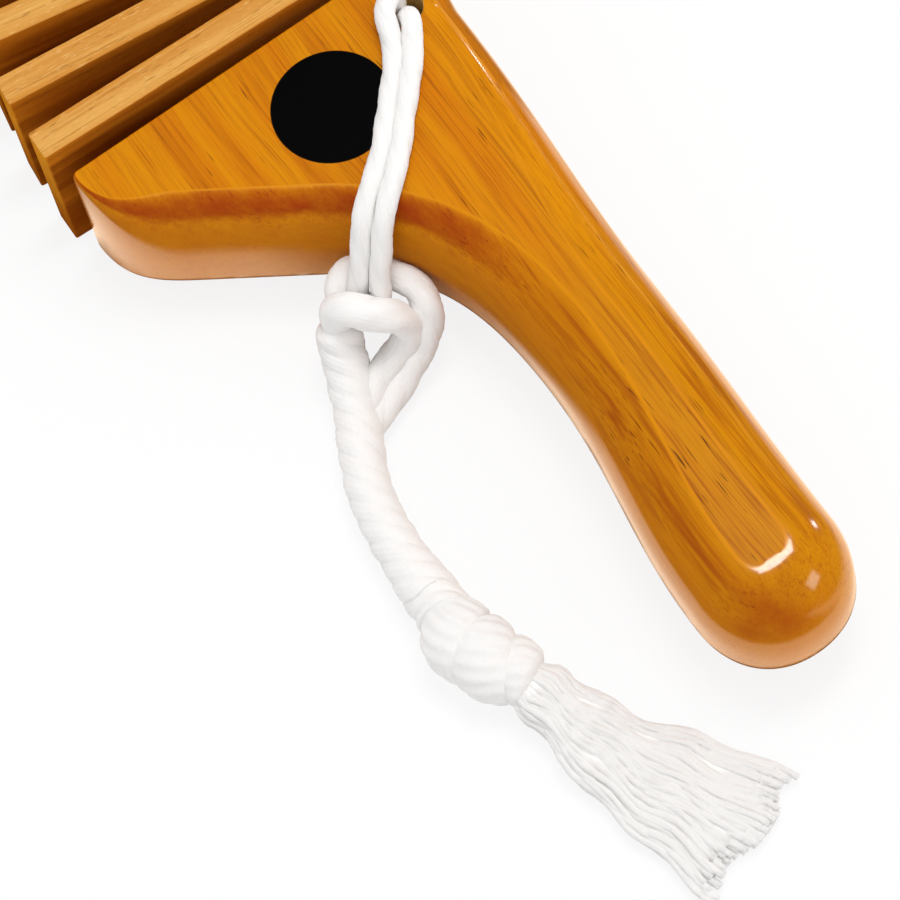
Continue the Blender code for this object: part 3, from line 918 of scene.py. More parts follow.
@dataclass(frozen=True)
class Handle:
    """A boot-shaped handle: flat faces, rounded edges, a cross hole and two bores for the cord."""

    thickness: float = 34.0 * MM
    length: float = 175.5 * MM
    reach: float = 77.6 * MM
    back: float = 11.4 * MM
    toe_depth: float = 24.2 * MM
    toe_slope: float = math.radians(35.0)
    neck_depth: float = 40.6 * MM
    waist_depth: float = 92.0 * MM
    waist_width: float = 30.0 * MM
    waist_back: float = 8.1 * MM
    swell_depth: float = 156.0 * MM
    swell_width: float = 35.2 * MM
    swell_back: float = 6.6 * MM
    corner: float = 1.5 * MM
    flat_round: float = 0.7 * MM
    head_round: float = 8.2 * MM
    grip_round: float = 12.5 * MM
    tip_round: float = 14.8 * MM
    round_height: float = 2.0
    land: float = 0.8 * MM
    hole_depth: float = 10.7 * MM
    hole_radius: float = 4.8 * MM
    hole_lip: float = 0.7 * MM
    lip_steps: int = 7
    raw_lip: float = 0.2
    hole_sides: int = 48
    bore_radius: float = 2.5 * MM
    bore_sides: int = 24
    past: float = 2.0 * MM
    side_fullness: float = 0.39
    end_fullness: float = 0.42
    fineness: int = 8
    round_steps: int = 14
    inset: float = 0.25 * MM
    sharp: float = math.radians(40)
    right_grain: float = 0.31

    def knots(self) -> list[tuple[tuple[float, float], float, float, float, int]]:
        """Knots of the plan outline, counterclockwise from the toe's corner.

        Returns:
            Place, heading and edge rounding of each, and fullness and steps of the curve to the next.
        """
        down, across, up, back = -math.pi / 2, 0.0, math.pi / 2, math.pi
        toe_run = (self.toe_depth - self.corner) * math.tan((math.pi / 2 - self.toe_slope) / 2)
        toe_x = toe_run - self.reach
        neck_x = toe_x + (self.neck_depth - self.toe_depth) / math.tan(self.toe_slope)
        tip_x = self.swell_back - self.swell_width / 2
        hole_end = self.hole_depth + self.hole_radius
        side, end, flat, head, grip = (
            self.side_fullness, self.end_fullness, self.flat_round, self.head_round, self.grip_round
        )
        return [
            ((self.corner - self.reach, 0.0), -back, flat, side, 4),
            ((-self.reach, -self.corner), down, flat, side, 7),
            ((toe_x, -self.toe_depth), -self.toe_slope, head, side, 3),
            ((neck_x, -self.neck_depth), -self.toe_slope, head, side, 10),
            ((self.waist_back - self.waist_width, -self.waist_depth), down, grip, side, 7),
            ((self.swell_back - self.swell_width, -self.swell_depth), down, grip, end, 8),
            ((tip_x, -self.length), across, self.tip_round, end, 8),
            ((self.swell_back, -self.swell_depth), up, grip, side, 5),
            ((self.waist_back, -self.waist_depth), up, grip, side, 7),
            ((self.back, -hole_end), up, head, side, 4),
            ((self.back, -self.corner), up, flat, side, 4),
            ((self.back - self.corner, 0.0), back, flat, side, 3),
        ]

    def outline(self) -> tuple[Array, Array, Array]:
        """Plan outline: cubic spans whose control points lie ahead along each knot's heading.

        Returns:
            Points counterclockwise, unit vectors into the plan, and edge roundings.
        """
        knots = self.knots()
        points, headings, roundings = [], [], []
        for (place, heading, rounding, fullness, steps), following in zip(knots, knots[1:] + knots[:1]):
            a, d = np.array(place), np.array(following[0])
            hold = fullness * math.dist(place, following[0])
            b = a + hold * np.array([math.cos(heading), math.sin(heading)])
            c = d - hold * np.array([math.cos(following[1]), math.sin(following[1])])
            share = np.arange(steps * self.fineness) / (steps * self.fineness)
            t = share[:, None]
            points.append(a * (1 - t) ** 3 + 3 * b * t * (1 - t) ** 2 + 3 * c * t**2 * (1 - t) + d * t**3)
            headings.append((b - a) * (1 - t) ** 2 + 2 * (c - b) * t * (1 - t) + (d - c) * t**2)
            roundings.append(rounding + (following[2] - rounding) * share**2 * (3 - 2 * share))
        slopes = np.vstack(headings)
        slopes /= np.linalg.norm(slopes, axis=1, keepdims=True)
        return np.vstack(points), np.stack([-slopes[:, 1], slopes[:, 0]], axis=1), np.hstack(roundings)

    def cutters(self, side: Side, plan: RowPlan) -> list[Skin]:
        """The cross hole with its eased rims, and the two bores.

        At depth d below a face, the rim of width w widens the hole by w - sqrt(w^2 - (w - d)^2).

        Args:
            side: Which end.
            plan: The row.

        Returns:
            Their skins in the handle's frame.
        """
        low, high = plan.middle - self.thickness / 2, plan.middle + self.thickness / 2
        depth = np.linspace(0.0, self.hole_lip, self.lip_steps)
        lip = self.hole_lip - np.sqrt(self.hole_lip**2 - (self.hole_lip - depth) ** 2)
        height = np.concatenate([[low - self.past], low + depth, high - depth[::-1], [high + self.past]])
        radius = self.hole_radius + np.concatenate([lip[:1], lip, lip[::-1], lip[:1]])
        hole_y = -side.value * self.hole_depth
        hole = np.stack([np.zeros_like(height), np.full_like(height, hole_y), height], axis=1)
        skins = [Skin.tubes(hole[None], np.repeat(radius[None, :, None], self.hole_sides, axis=2))]
        for bore_height in plan.heights:
            ends = side.value * np.array([-self.hole_depth, self.past])
            path = np.stack([np.zeros(2), np.sort(ends), np.full(2, bore_height)], axis=1)
            skins.append(Skin.tubes(path[None], np.full((1, 2, self.bore_sides), self.bore_radius)))
        return skins

    def build(self, side: Side, plan: RowPlan, finish: bpy.types.Material) -> bpy.types.Object:
        """Make one handle.

        Args:
            side: Which end.
            plan: The row.
            finish: Its lacquer.

        Returns:
            The handle, riding on its body.
        """
        outline, inward, roundings = self.outline()
        if side is Side.RIGHT:
            flip = np.array([1.0, -1.0])
            outline, inward, roundings = (outline * flip)[::-1], (inward * flip)[::-1], roundings[::-1]
        low, high = plan.middle - self.thickness / 2, plan.middle + self.thickness / 2
        lifts = np.minimum(roundings * self.round_height, (self.thickness - self.land) / 2)
        edges = (roundings, np.minimum(roundings, lifts), lifts)
        skin = Skin.rounded_plate(outline, inward, edges, (low, high), self.round_steps, self.inset)
        node = f"{side.label}_handle"
        name = f"{node}_wood"
        mesh = Bench.drilled(name, skin, self.cutters(side, plan), self.sharp)
        local = Bench.read(mesh, "co")
        place = local * np.array([1.0, side.value, 1.0])
        shift = 0.0 if side is Side.LEFT else self.right_grain
        from_hole = np.hypot(place[:, 0], place[:, 1] + self.hole_depth)
        Bench.note(mesh, "place", place)
        Bench.note(mesh, "grain", place + np.array([0.0, 0.0, shift]))
        Bench.note(mesh, "belly", 0.5 - 0.5 * Bench.read(mesh, "normal")[:, 0])
        Bench.note(mesh, "raw", (from_hole < self.hole_radius + self.raw_lip * self.hole_lip).astype(float))
        mesh.vertices.foreach_set("co", plan.handle(side).world(local).ravel())
        return Bench.settle(Bench.object(name, mesh, finish), node, "handle_wood", (node,))


@dataclass(frozen=True)
class SlatRow:
    """The slats: flat sticks on their long edges, with eased corners and two cord holes each."""

    length: float = 90.0 * MM
    width: float = 40.0 * MM
    inner_end: float = 9.7 * MM
    corner: float = 0.5 * MM
    rounding: float = 0.32 * MM
    hole_radius: float = 2.5 * MM
    hole_sides: int = 24
    corner_steps: int = 5
    round_steps: int = 4
    inset: float = 0.15 * MM
    sharp: float = math.radians(35)
    grain_seed: int = 17
    grain_reach: float = 4.0

    def outline(self, thickness: float) -> tuple[Array, Array]:
        """Plan of a slat about its middle: a rectangle with quarter circles at its corners.

        Args:
            thickness: The slat's thickness.

        Returns:
            Points counterclockwise and unit vectors into the plan.
        """
        quarter = np.linspace(0, math.pi / 2, self.corner_steps + 1)
        angles = (np.arange(4)[:, None] * math.pi / 2 + quarter).ravel()
        outward = np.stack([np.cos(angles), np.sin(angles)], axis=1)
        signs = np.repeat(np.array([[1, 1], [-1, 1], [-1, -1], [1, -1]]), self.corner_steps + 1, axis=0)
        middle = signs * (np.array([self.length, thickness]) / 2 - self.corner)
        return middle + outward * self.corner, -outward

    def build(self, plan: RowPlan, finish: bpy.types.Material) -> list[bpy.types.Object]:
        """Make every slat of the row.

        Args:
            plan: The row.
            finish: The slats' finish.

        Returns:
            The slats, each riding on its own body.
        """
        outline, inward = self.outline(plan.slat_thickness)
        centre = np.array([self.inner_end - self.length / 2, plan.pitch / 2])
        roundings = np.full(len(outline), self.rounding)
        skin = Skin.rounded_plate(
            outline + centre, inward, (roundings,) * 3, (0.0, self.width), self.round_steps, self.inset
        )
        cutters = []
        for height in plan.heights:
            path = np.array([[0.0, -plan.pitch, height], [0.0, 2 * plan.pitch, height]])
            cutters.append(Skin.tubes(path[None], np.full((1, 2, self.hole_sides), self.hole_radius)))
        seeds = np.random.default_rng(self.grain_seed).uniform(0.0, self.grain_reach, (plan.slat_count, 3))
        slats = []
        for number, (joint, seed) in enumerate(zip(plan.joints(), seeds), start=1):
            node = f"slat_{number:02d}"
            mesh = Bench.drilled(f"{node}_wood", skin, cutters, self.sharp)
            local, normals = Bench.read(mesh, "co"), np.abs(Bench.read(mesh, "normal"))
            Bench.note(mesh, "place", local)
            Bench.note(mesh, "grain", local + seed)
            Bench.note(mesh, "cut", normals[:, 2])
            Bench.note(mesh, "end", normals[:, 0])
            mesh.vertices.foreach_set("co", joint.world(local).ravel())
            piece = Bench.object(mesh.name, mesh, finish)
            slats.append(Bench.settle(piece, node, "slat_wood", (node,)))
        return slats


@dataclass(frozen=True)
class StringRun:
    """The two runs of the cord through the row, in one short piece for each gap, shaped through its joint."""

    radius: float = 2.1 * MM
    bend: float = 2.6 * MM
    face: float = 37.0 * MM
    step: float = 0.35 * MM
    per_span: int = 8
    sides: int = 30

    def head(self, leg_y: float, height: float, side: Side) -> Array:
        """Points of a run inside a head, from the cross hole's mouth down and round to its bore.

        Args:
            leg_y: Place of the run in the cross hole, along the left handle's y.
            height: Height of the run.
            side: Which end.

        Returns:
            Points in the handle's frame.
        """
        corner = self.bend * (1 - math.sqrt(0.5))
        return np.array([
            (0.0, side.value * leg_y, self.face - 2 * self.radius),
            (0.0, side.value * leg_y, height + self.bend),
            (0.0, side.value * (leg_y + corner), height + corner),
            (0.0, side.value * (leg_y + self.bend), height),
        ])

    def build(
        self, plan: RowPlan, legs: tuple[float, float], finish: bpy.types.Material
    ) -> list[bpy.types.Object]:
        """Make the pieces of both runs.

        Args:
            plan: The row.
            legs: Place of each run in the cross hole.
            finish: The cotton.

        Returns:
            One piece for each gap.
        """
        joints = plan.joints()
        half, reach = plan.pitch / 2, plan.string_gap / 2
        pieces = []
        for index, joint in enumerate(joints):
            before = joints[index - 1].then(half, 0.0) if index else plan.handle(Side.LEFT)
            after = joint.then(half, 0.0) if index < len(joints) - 1 else plan.handle(Side.RIGHT)
            skins = []
            for leg_y, height in zip(legs, plan.heights):
                here = np.array([[0.0, 0.0, height]])
                start, bend, end = before.world(here), joint.world(here), after.world(here)
                if index == 0:
                    start = before.world(self.head(leg_y, height, Side.LEFT))
                if index == len(joints) - 1:
                    end = after.world(self.head(leg_y, height, Side.RIGHT))[::-1]
                path = Line.spaced(Line.through(np.vstack([start, bend, end]), self.per_span), self.step)
                run = Line.run(path) + index * plan.pitch
                radii = CORD_LAY.section(run, self.sides, np.full(len(run), self.radius))
                skins.append(Skin.tubes(path[None], radii[None]))
            name = f"cord_gap_{index + 1:02d}"
            piece = Bench.object(name, Skin.joined(skins).mesh(name), finish)
            start, end = (joint.world(np.array([0.0, ahead, plan.middle])) for ahead in (-reach, reach))
            tuple(start)
            tuple(end)
            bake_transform(piece)
            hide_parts("string_upper", "string_lower")
            LOG.info("%s: %d faces", name, len(piece.data.polygons))
            pieces.append(piece)
        return pieces


@dataclass(frozen=True)
class Knot:
    """The tassel's knot, in millimetres in the left handle's frame."""

    route: Route = ((-66.6, -118.5, 8.4), (-67.6, -125.4, 8.9), (-65.9, -132.8, 8.8), (-61.6, -141.0, 8.0))
    radii: tuple[float, ...] = (5.8, 7.3, 8.4, 8.8, 8.8, 8.6, 8.1, 7.3, 5.8)
    reach: tuple[float, float] = (0.10, 0.22)
    turns: float = 2.6
    groove: float = 0.20
    fill: float = 0.96
    flatness: float = 0.88
    tip: float = 0.07
    blunt: float = 0.12
    margin: float = 0.12
    yarns: int = 15
    yarn_slant: float = 1.6
    yarn_height: float = 0.22
    girth: float = 55.0
    table_gap: float = 0.3
    spacing: float = 0.2
    sides: int = 120
    line_span: int = 12
    radius_span: int = 8

    def skin(self, end: "EndCord") -> Skin:
        """A body along the knot's line that bulges as one band of rope wound round it.

        A band's place across is u, the fraction of (turns times share along, less share of a turn around).
        Its bulge is the half circle sqrt(1 - (2u - 1)^2), flattened, with the rope's yarns as ridges on it.

        Args:
            end: The end of the instrument that it belongs to.

        Returns:
            The skin, with corners whose length runs round the knot.
        """
        ends = np.array(self.route)
        ends[0] += (ends[0] - ends[1]) * self.reach[0]
        ends[-1] += (ends[-1] - ends[-2]) * self.reach[1]
        line = Line.spaced(Line.through(ends, self.line_span), self.spacing)
        share = np.linspace(0.0, 1.0, len(line))
        places = np.linspace(0, 1, len(self.radii))
        radii = Line.through(np.stack([places, self.radii], axis=1), self.radius_span)
        from_end = np.minimum(share, 1 - share)
        tip = np.clip(from_end / self.tip, 0, 1)
        outer = np.interp(share, radii[:, 0], radii[:, 1])
        outer = outer * np.sqrt(self.blunt + (1 - self.blunt) * (1 - (1 - tip) ** 2))
        line[:, 2] = np.maximum(line[:, 2], outer * self.flatness + self.table_gap)
        around = np.arange(self.sides) / self.sides
        u = (self.turns * share[:, None] - around) % 1.0
        bulge = np.sqrt(np.maximum(1 - (self.fill * (2 * u - 1)) ** 2, 0.0))
        ridge = np.cos(TAU * (self.yarns * around + self.yarn_slant * u)) * bulge
        middling = np.clip(from_end / self.margin, 0, 1)[:, None]
        radius = outer[:, None] * (1 - self.groove * middling * (1 - bulge))
        radius = radius + self.yarn_height * ridge * middling
        flat = np.sqrt(np.cos(TAU * around) ** 2 * self.flatness**2 + np.sin(TAU * around) ** 2)
        skin = Skin.tubes(end.world(line)[None], (radius * flat * MM)[None])
        along, turn = skin.corners.T
        skin.corners = np.stack([turn * self.girth * MM, along / CottonFinish.girth], axis=1)
        return skin


@dataclass(frozen=True)
class Fringe:
    """The tassel's combed-out end, in millimetres in the left handle's frame."""

    route: Route = (
        (-63.7, -137.8, 8.0), (-61.8, -142.6, 6.6), (-59.9, -149.3, 5.2), (-57.1, -160.1, 3.9),
        (-52.9, -171.8, 3.1), (-48.2, -183.0, 2.7), (-42.8, -197.0, 2.4),
    )
    halves: tuple[tuple[float, float], ...] = (
        (4.2, 3.6), (6.2, 5.2), (7.6, 4.6), (9.4, 3.4), (11.8, 2.7), (14.4, 2.3), (16.6, 2.0)
    )
    per_span: int = 12
    length: float = 63.5
    yarn_count: int = 180
    yarn_radius: float = 0.82
    yarn_sides: int = 6
    stations: int = 48
    seed: int = 29
    trim: tuple[float, float] = (0.975, 0.025)
    trim_wave: tuple[float, float] = (5.0, 1.0)
    trim_uneven: tuple[float, float] = (-0.03, 0.02)
    waves: tuple[tuple[float, float, float], ...] = ((1.0, 15.0, 2.2), (0.6, 27.0, -3.0))
    wave_height: float = 0.55
    wave_start: float = 14.0
    sway: float = 0.20
    sway_spans: tuple[float, float] = (9.0, 19.0)
    stray_edge: float = -0.80
    stray_start: float = 30.0
    stray_run: float = 14.0
    stray_reach: float = 1.1
    slim: tuple[float, float] = (0.82, 1.12)
    uneven: float = 0.08
    uneven_span: float = 3.4
    table_gap: float = 0.12
    core_sides: int = 48
    core_reach: float = 0.93
    core_width: float = 0.96
    core_height: float = 1.05

    def lines(self, wide: Array, high: Array, length: Array, sway: Array, lift: Array) -> Array:
        """Lines of the combed-out end.

        A line keeps its share, wide and high, of the fringe's half width and half height as they grow. It
        sways across with sines of a height, a span and a lead, which all lines share, and lies no lower
        than the table.

        Args:
            wide: Share across, from -1 to 1, of each line.
            high: Share upwards of each line.
            length: Length along by line and station.
            sway: The line's own way across at each station.
            lift: The line's own way up.

        Returns:
            Points by line and station.
        """
        route = Line.through(np.array(self.route), self.per_span)
        halves = Line.through(np.array(self.halves), self.per_span) - self.yarn_radius
        stretch = self.length / Line.run(route)[-1]
        route = route[0] + (route - route[0]) * np.array([stretch, stretch, 1.0])
        places = np.linspace(0, self.length, len(route))
        centre = np.stack([np.interp(length, places, column) for column in route.T], axis=-1)
        half_wide, half_high = (np.interp(length, places, column) for column in halves.T)
        heading = np.gradient(centre, axis=1) * np.array([1.0, 1.0, 0.0])
        heading /= np.linalg.norm(heading, axis=2, keepdims=True)
        across = np.stack([-heading[..., 1], heading[..., 0], np.zeros_like(length)], axis=-1)
        waves = sum(
            height * np.sin(TAU * length / span + lead * wide[:, None]) for height, span, lead in self.waves
        )
        swell = np.clip(length / self.wave_start, 0, 1)
        aside = wide[:, None] * half_wide + swell * (self.wave_height * waves + sway)
        lines = centre + across * aside[..., None]
        lines[..., 2] += high[:, None] * half_high + swell * lift
        lines[..., 2] = np.maximum(lines[..., 2], self.yarn_radius + self.table_gap)
        return lines

    def skin(self, end: "EndCord") -> Skin:
        """Wavy yarns laid as a sunflower's seeds in the neck's disc, over a soft core.

        Yarn k stands at radius sqrt((k + 0.5) / count) and at k golden angles, 180 (3 - sqrt 5) degrees.

        Args:
            end: The end of the instrument that it belongs to.

        Returns:
            The skin of them all.
        """
        stations = np.linspace(0.0, 1.0, self.stations)
        rng = np.random.default_rng(self.seed + end.side.value)
        number, count = np.arange(self.yarn_count), self.yarn_count
        spoke = np.sqrt((number + 0.5) / count)
        turn = number * math.pi * (3 - math.sqrt(5))
        wide, high = spoke * np.cos(turn), spoke * np.sin(turn)
        reach = self.trim[0] + self.trim[1] * np.sin(self.trim_wave[0] * wide + self.trim_wave[1])
        reach = reach + rng.uniform(*self.trim_uneven, count)
        length = stations * reach[:, None] * self.length
        starts = rng.uniform(0, TAU, (3, count, 1))
        spans = rng.uniform(*self.sway_spans, (2, count, 1))
        loosened = np.clip((length - self.stray_start) / self.stray_run, 0, 1)
        stray = loosened * (wide[:, None] < self.stray_edge)
        sway = self.sway * np.sin(TAU * length / spans[0] + starts[0]) - self.stray_reach * stray
        lift = self.sway * np.sin(TAU * length / spans[1] + starts[1])
        yarns = self.lines(wide, high, length, sway, lift)
        slim = rng.uniform(*self.slim, (count, 1))
        swell = 1 + self.uneven * np.sin(TAU * length / self.uneven_span + starts[2])
        radius = self.yarn_radius * slim * swell
        tubes = Skin.tubes(end.world(yarns), np.repeat(radius[..., None] * MM, self.yarn_sides, axis=2))
        around = end.side.value * np.arange(self.core_sides) * TAU / self.core_sides
        length = np.repeat(stations[None] * self.core_reach * self.length, self.core_sides, axis=0)
        still = np.zeros_like(length)
        wide, high = self.core_width * np.cos(around), self.core_height * np.sin(around)
        core = Skin.loft(end.world(self.lines(wide, high, length, still, still)).transpose(1, 0, 2))
        core.corners = Skin.lay(length[:1] * MM, self.core_sides)
        return Skin.joined([tubes, core])


@dataclass(frozen=True)
class EndCord:
    """The cord's doubled end and its tassel at one end, in millimetres in the left handle's frame."""

    side: Side
    placement: Placement
    face: float = 37.0
    hole_depth: float = 10.7
    cord: float = 4.2
    leg_offset: float = 2.3
    start_rise: float = 0.3
    rope: float = 10.0
    loop_radius: float = 2.35
    eye: float = 5.6
    per_span: int = 12
    spacing: float = 0.3
    cord_sides: int = 36
    rope_sides: int = 72
    unevenness: float = 0.035
    uneven_spans: tuple[float, ...] = (7.3, 12.1, 19.7)
    dome: float = 3.2
    dome_least: float = 0.04
    flare: float = 0.26
    flare_run: float = 28.0
    ridge_room: float = 1.04
    table_gap: float = 0.3
    near_leg: Route = (
        (-1.0, -8.6, 2.0), (-4.2, -11.8, 3.2), (-8.3, -20.8, 2.4), (-15.9, -29.8, 2.4), (-22.5, -37.1, 2.4),
        (-28.5, -42.2, 2.3), (-33.9, -46.4, 0.2), (-37.7, -49.6, -6.2), (-40.3, -51.6, -11.7),
        (-42.1, -52.7, -15.7),
    )
    bight: Route = ((-42.1, -54.3, -18.1), (-40.3, -56.3, -18.1))
    far_leg: Route = (
        (-38.7, -56.5, -15.7), (-37.4, -55.0, -11.7), (-34.7, -52.9, -6.2), (-30.8, -49.6, 0.2),
        (-25.5, -45.3, 2.3), (-19.7, -39.9, 2.4), (-13.1, -32.4, 2.4), (-5.3, -23.6, 2.4),
        (-1.6, -17.8, 2.3), (-0.3, -15.0, 1.3),
    )
    rope_route: Route = (  # its last point lies inside the knot
        (-48.9, -53.6, 17.5), (-50.5, -56.8, 12.2), (-52.3, -61.0, 8.6), (-54.4, -65.6, 6.4),
        (-56.5, -70.1, 5.5), (-59.2, -75.2, 5.3), (-63.2, -83.7, 5.3), (-65.3, -92.1, 5.3),
        (-66.4, -101.2, 5.3), (-66.8, -109.8, 5.9), (-67.0, -117.2, 7.4), (-67.5, -120.4, 8.6),
    )
    eye_front: Route = (
        (-52.3, -60.9, 8.6), (-50.3, -57.1, 12.5), (-48.9, -54.3, 17.5), (-48.0, -54.0, 21.5),
        (-46.6, -55.7, 23.5), (-44.2, -58.7, 23.5), (-41.0, -61.2, 22.5), (-38.1, -62.6, 19.0),
        (-37.5, -63.7, 14.5), (-39.9, -64.2, 11.0), (-43.7, -64.6, 8.5), (-47.3, -65.3, 7.0),
        (-51.0, -67.2, 6.2), (-54.8, -70.4, 5.6), (-58.0, -74.7, 5.3),
    )
    eye_front_radii: tuple[float, ...] = (
        2.6, 3.2, 3.7, 3.8, 3.8, 3.9, 3.8, 3.6, 3.5, 3.5, 3.5, 3.5, 3.4, 3.1, 2.6
    )
    eye_back: Route = (
        (-53.2, -63.6, 7.5), (-50.3, -58.2, 12.0), (-47.7, -53.5, 16.5), (-45.8, -50.2, 19.0),
        (-43.9, -48.4, 20.4), (-40.5, -47.3, 20.6), (-37.2, -49.1, 20.2), (-33.9, -52.9, 19.8),
        (-31.5, -58.2, 19.2), (-31.6, -62.1, 17.6), (-33.2, -64.4, 14.0), (-36.5, -66.0, 10.0),
        (-40.7, -67.4, 7.0), (-44.9, -69.0, 5.2), (-49.3, -70.8, 4.6), (-53.6, -72.6, 4.8),
        (-57.8, -75.4, 5.2),
    )
    eye_back_radii: tuple[float, ...] = (
        2.4, 2.8, 3.0, 3.1, 3.1, 3.1, 3.1, 3.2, 3.4, 3.5, 3.5, 3.5, 3.4, 3.3, 3.1, 2.8, 2.4
    )

    def world(self, points: Array) -> Array:
        """Points in millimetres, mirrored for the right end, in the row's frame."""
        return self.placement.world(np.asarray(points, float) * np.array([1.0, self.side.value, 1.0]) * MM)

    def piece(self, label: str, skin: Skin, finish: bpy.types.Material) -> bpy.types.Object:
        """A skin as one of this end's pieces."""
        name = f"{self.side.label}_{label}"
        return Bench.object(name, skin.mesh(name), finish)

    def cord_tube(self, label: str, path: Array, radius: Array, lay: Lay, sides: int) -> Skin:
        """A laid cord along a path in the row's frame.

        Args:
            label: The piece's label, which seeds the cord's unevenness.
            path: Evenly spaced points.
            radius: Radius at each point.
            lay: How the cord is laid up.
            sides: Steps around.

        Returns:
            The skin.
        """
        run = Line.run(path)
        seed = sum(map(ord, f"{self.side.label}_{label}"))
        spans = tuple(span * MM for span in self.uneven_spans)
        uneven = 1 + self.unevenness * Line.waver(run, spans, seed)
        return Skin.tubes(path[None], lay.section(run, sides, radius * uneven)[None])

    def loop(self, finish: bpy.types.Material) -> bpy.types.Object:
        """The doubled end: out of the cross hole, over the face, round the bight and back.

        Args:
            finish: The cotton.

        Returns:
            The piece.
        """
        start = self.face - self.cord + self.start_rise
        near_y, far_y = -self.hole_depth + self.leg_offset, -self.hole_depth - self.leg_offset
        lift = np.array([0.0, 0.0, self.face])
        route = np.vstack([
            [(0.0, near_y, start), (0.0, near_y, start + self.cord / 2)],
            np.array(self.near_leg + self.bight + self.far_leg) + lift,
            [(0.0, far_y, start + self.cord / 2), (0.0, far_y, start)],
        ])
        path = Line.spaced(self.world(Line.through(route, self.per_span)), self.spacing * MM)
        radius = np.full(len(path), self.loop_radius * MM)
        skin = self.cord_tube("cord_loop", path, radius, CORD_LAY, self.cord_sides)
        piece = self.piece("cord_loop", skin, finish)
        self.declare(path, self.cord)
        return self.settle(piece, "loop")

    def eye_strand(
        self, label: str, route: Route, radii: tuple[float, ...], finish: bpy.types.Material
    ) -> bpy.types.Object:
        """One strand of the tassel's eye, whose radius follows its route.

        Args:
            label: The strand's name.
            route: Points that it passes through.
            radii: Radius at each of them.
            finish: The cotton.

        Returns:
            The piece.
        """
        smooth = Line.through(np.column_stack([route, radii]), self.per_span)
        rough = self.world(smooth[:, :3])
        path = Line.spaced(rough, self.spacing * MM)
        run = Line.run(rough)
        radius = np.interp(np.linspace(0, run[-1], len(path)), run, smooth[:, 3] * MM)
        skin = self.cord_tube(label, path, radius, CORD_LAY, self.cord_sides)
        piece = self.piece(label, skin, finish)
        self.declare(path, self.eye)
        return self.settle(piece, f"tassel_{label}")

    def tassel(self, finish: bpy.types.Material, combed: bpy.types.Material) -> list[bpy.types.Object]:
        """The rope with its eye, knot and fringe.

        The rope's end is a dome, sqrt(1 - (1 - t)^2) along its first part, and it widens towards the knot.

        Args:
            finish: The cotton of the cords.
            combed: The cotton of the fringe.

        Returns:
            The pieces.
        """
        front = self.eye_strand("eye_front", self.eye_front, self.eye_front_radii, finish)
        back = self.eye_strand("eye_back", self.eye_back, self.eye_back_radii, finish)
        knot = self.settle(self.piece("knot", Knot().skin(self), finish), "tassel_knot")
        fringe = self.settle(self.piece("fringe", Fringe().skin(self), combed), "tassel_fringe")
        route = Line.through(np.array(self.rope_route), self.per_span)
        path = Line.spaced(self.world(route), self.spacing * MM)
        run = Line.run(path)
        from_end = np.clip(run / (self.dome * MM), 0, 1)
        dome = np.sqrt(np.clip(1 - (1 - from_end) ** 2, self.dome_least, 1))
        flare = 1 + self.flare * smooth_step(run, run[-1] - self.flare_run * MM, run[-1])
        radius = self.rope / 2 * MM * dome * flare
        path[:, 2] = np.maximum(path[:, 2], radius * self.ridge_room + self.table_gap * MM)
        skin = self.cord_tube("rope", path, radius, ROPE_LAY, self.rope_sides)
        rope = self.piece("rope", skin, finish)
        self.declare(path, self.rope)
        return [front, back, knot, fringe, self.settle(rope, "tassel_rope")]

    def declare(
        self, path: Array, diameter: float,
    ) -> None:
        """Work out a cord's length along its middle line; nothing is kept.

        Args:
            path: Its middle line in the row's frame.
            diameter: Not used.
        """
        float(Line.run(path)[-1])

    def settle(self, piece: bpy.types.Object, node: str) -> bpy.types.Object:
        """Let a piece ride with this end's handle and stand for its node, with no mirror image in gloss."""
        piece.visible_glossy = False
        return Bench.settle(piece, f"{self.side.label}_handle", "cotton", (f"{self.side.label}_{node}",))


@dataclass(frozen=True)
class Lamp:
    """A soft box over the table, aimed at a point."""

    name: str
    place: Point
    aim: Point
    size: tuple[float, float]
    power: float

    def build(self) -> bpy.types.Object:
        """Make the lamp.

        Returns:
            The lamp, linked to the scene.
        """
        data = bpy.data.lights.new(self.name, "AREA")
        data.shape = "RECTANGLE"
        data.size, data.size_y = self.size
        data.energy = self.power
        lamp = bpy.data.objects.new(self.name, data)
        lamp.location = self.place
        lamp.rotation_euler = (Vector(self.aim) - Vector(self.place)).to_track_quat("-Z", "Y").to_euler()
        bpy.context.scene.collection.objects.link(lamp)
        return lamp


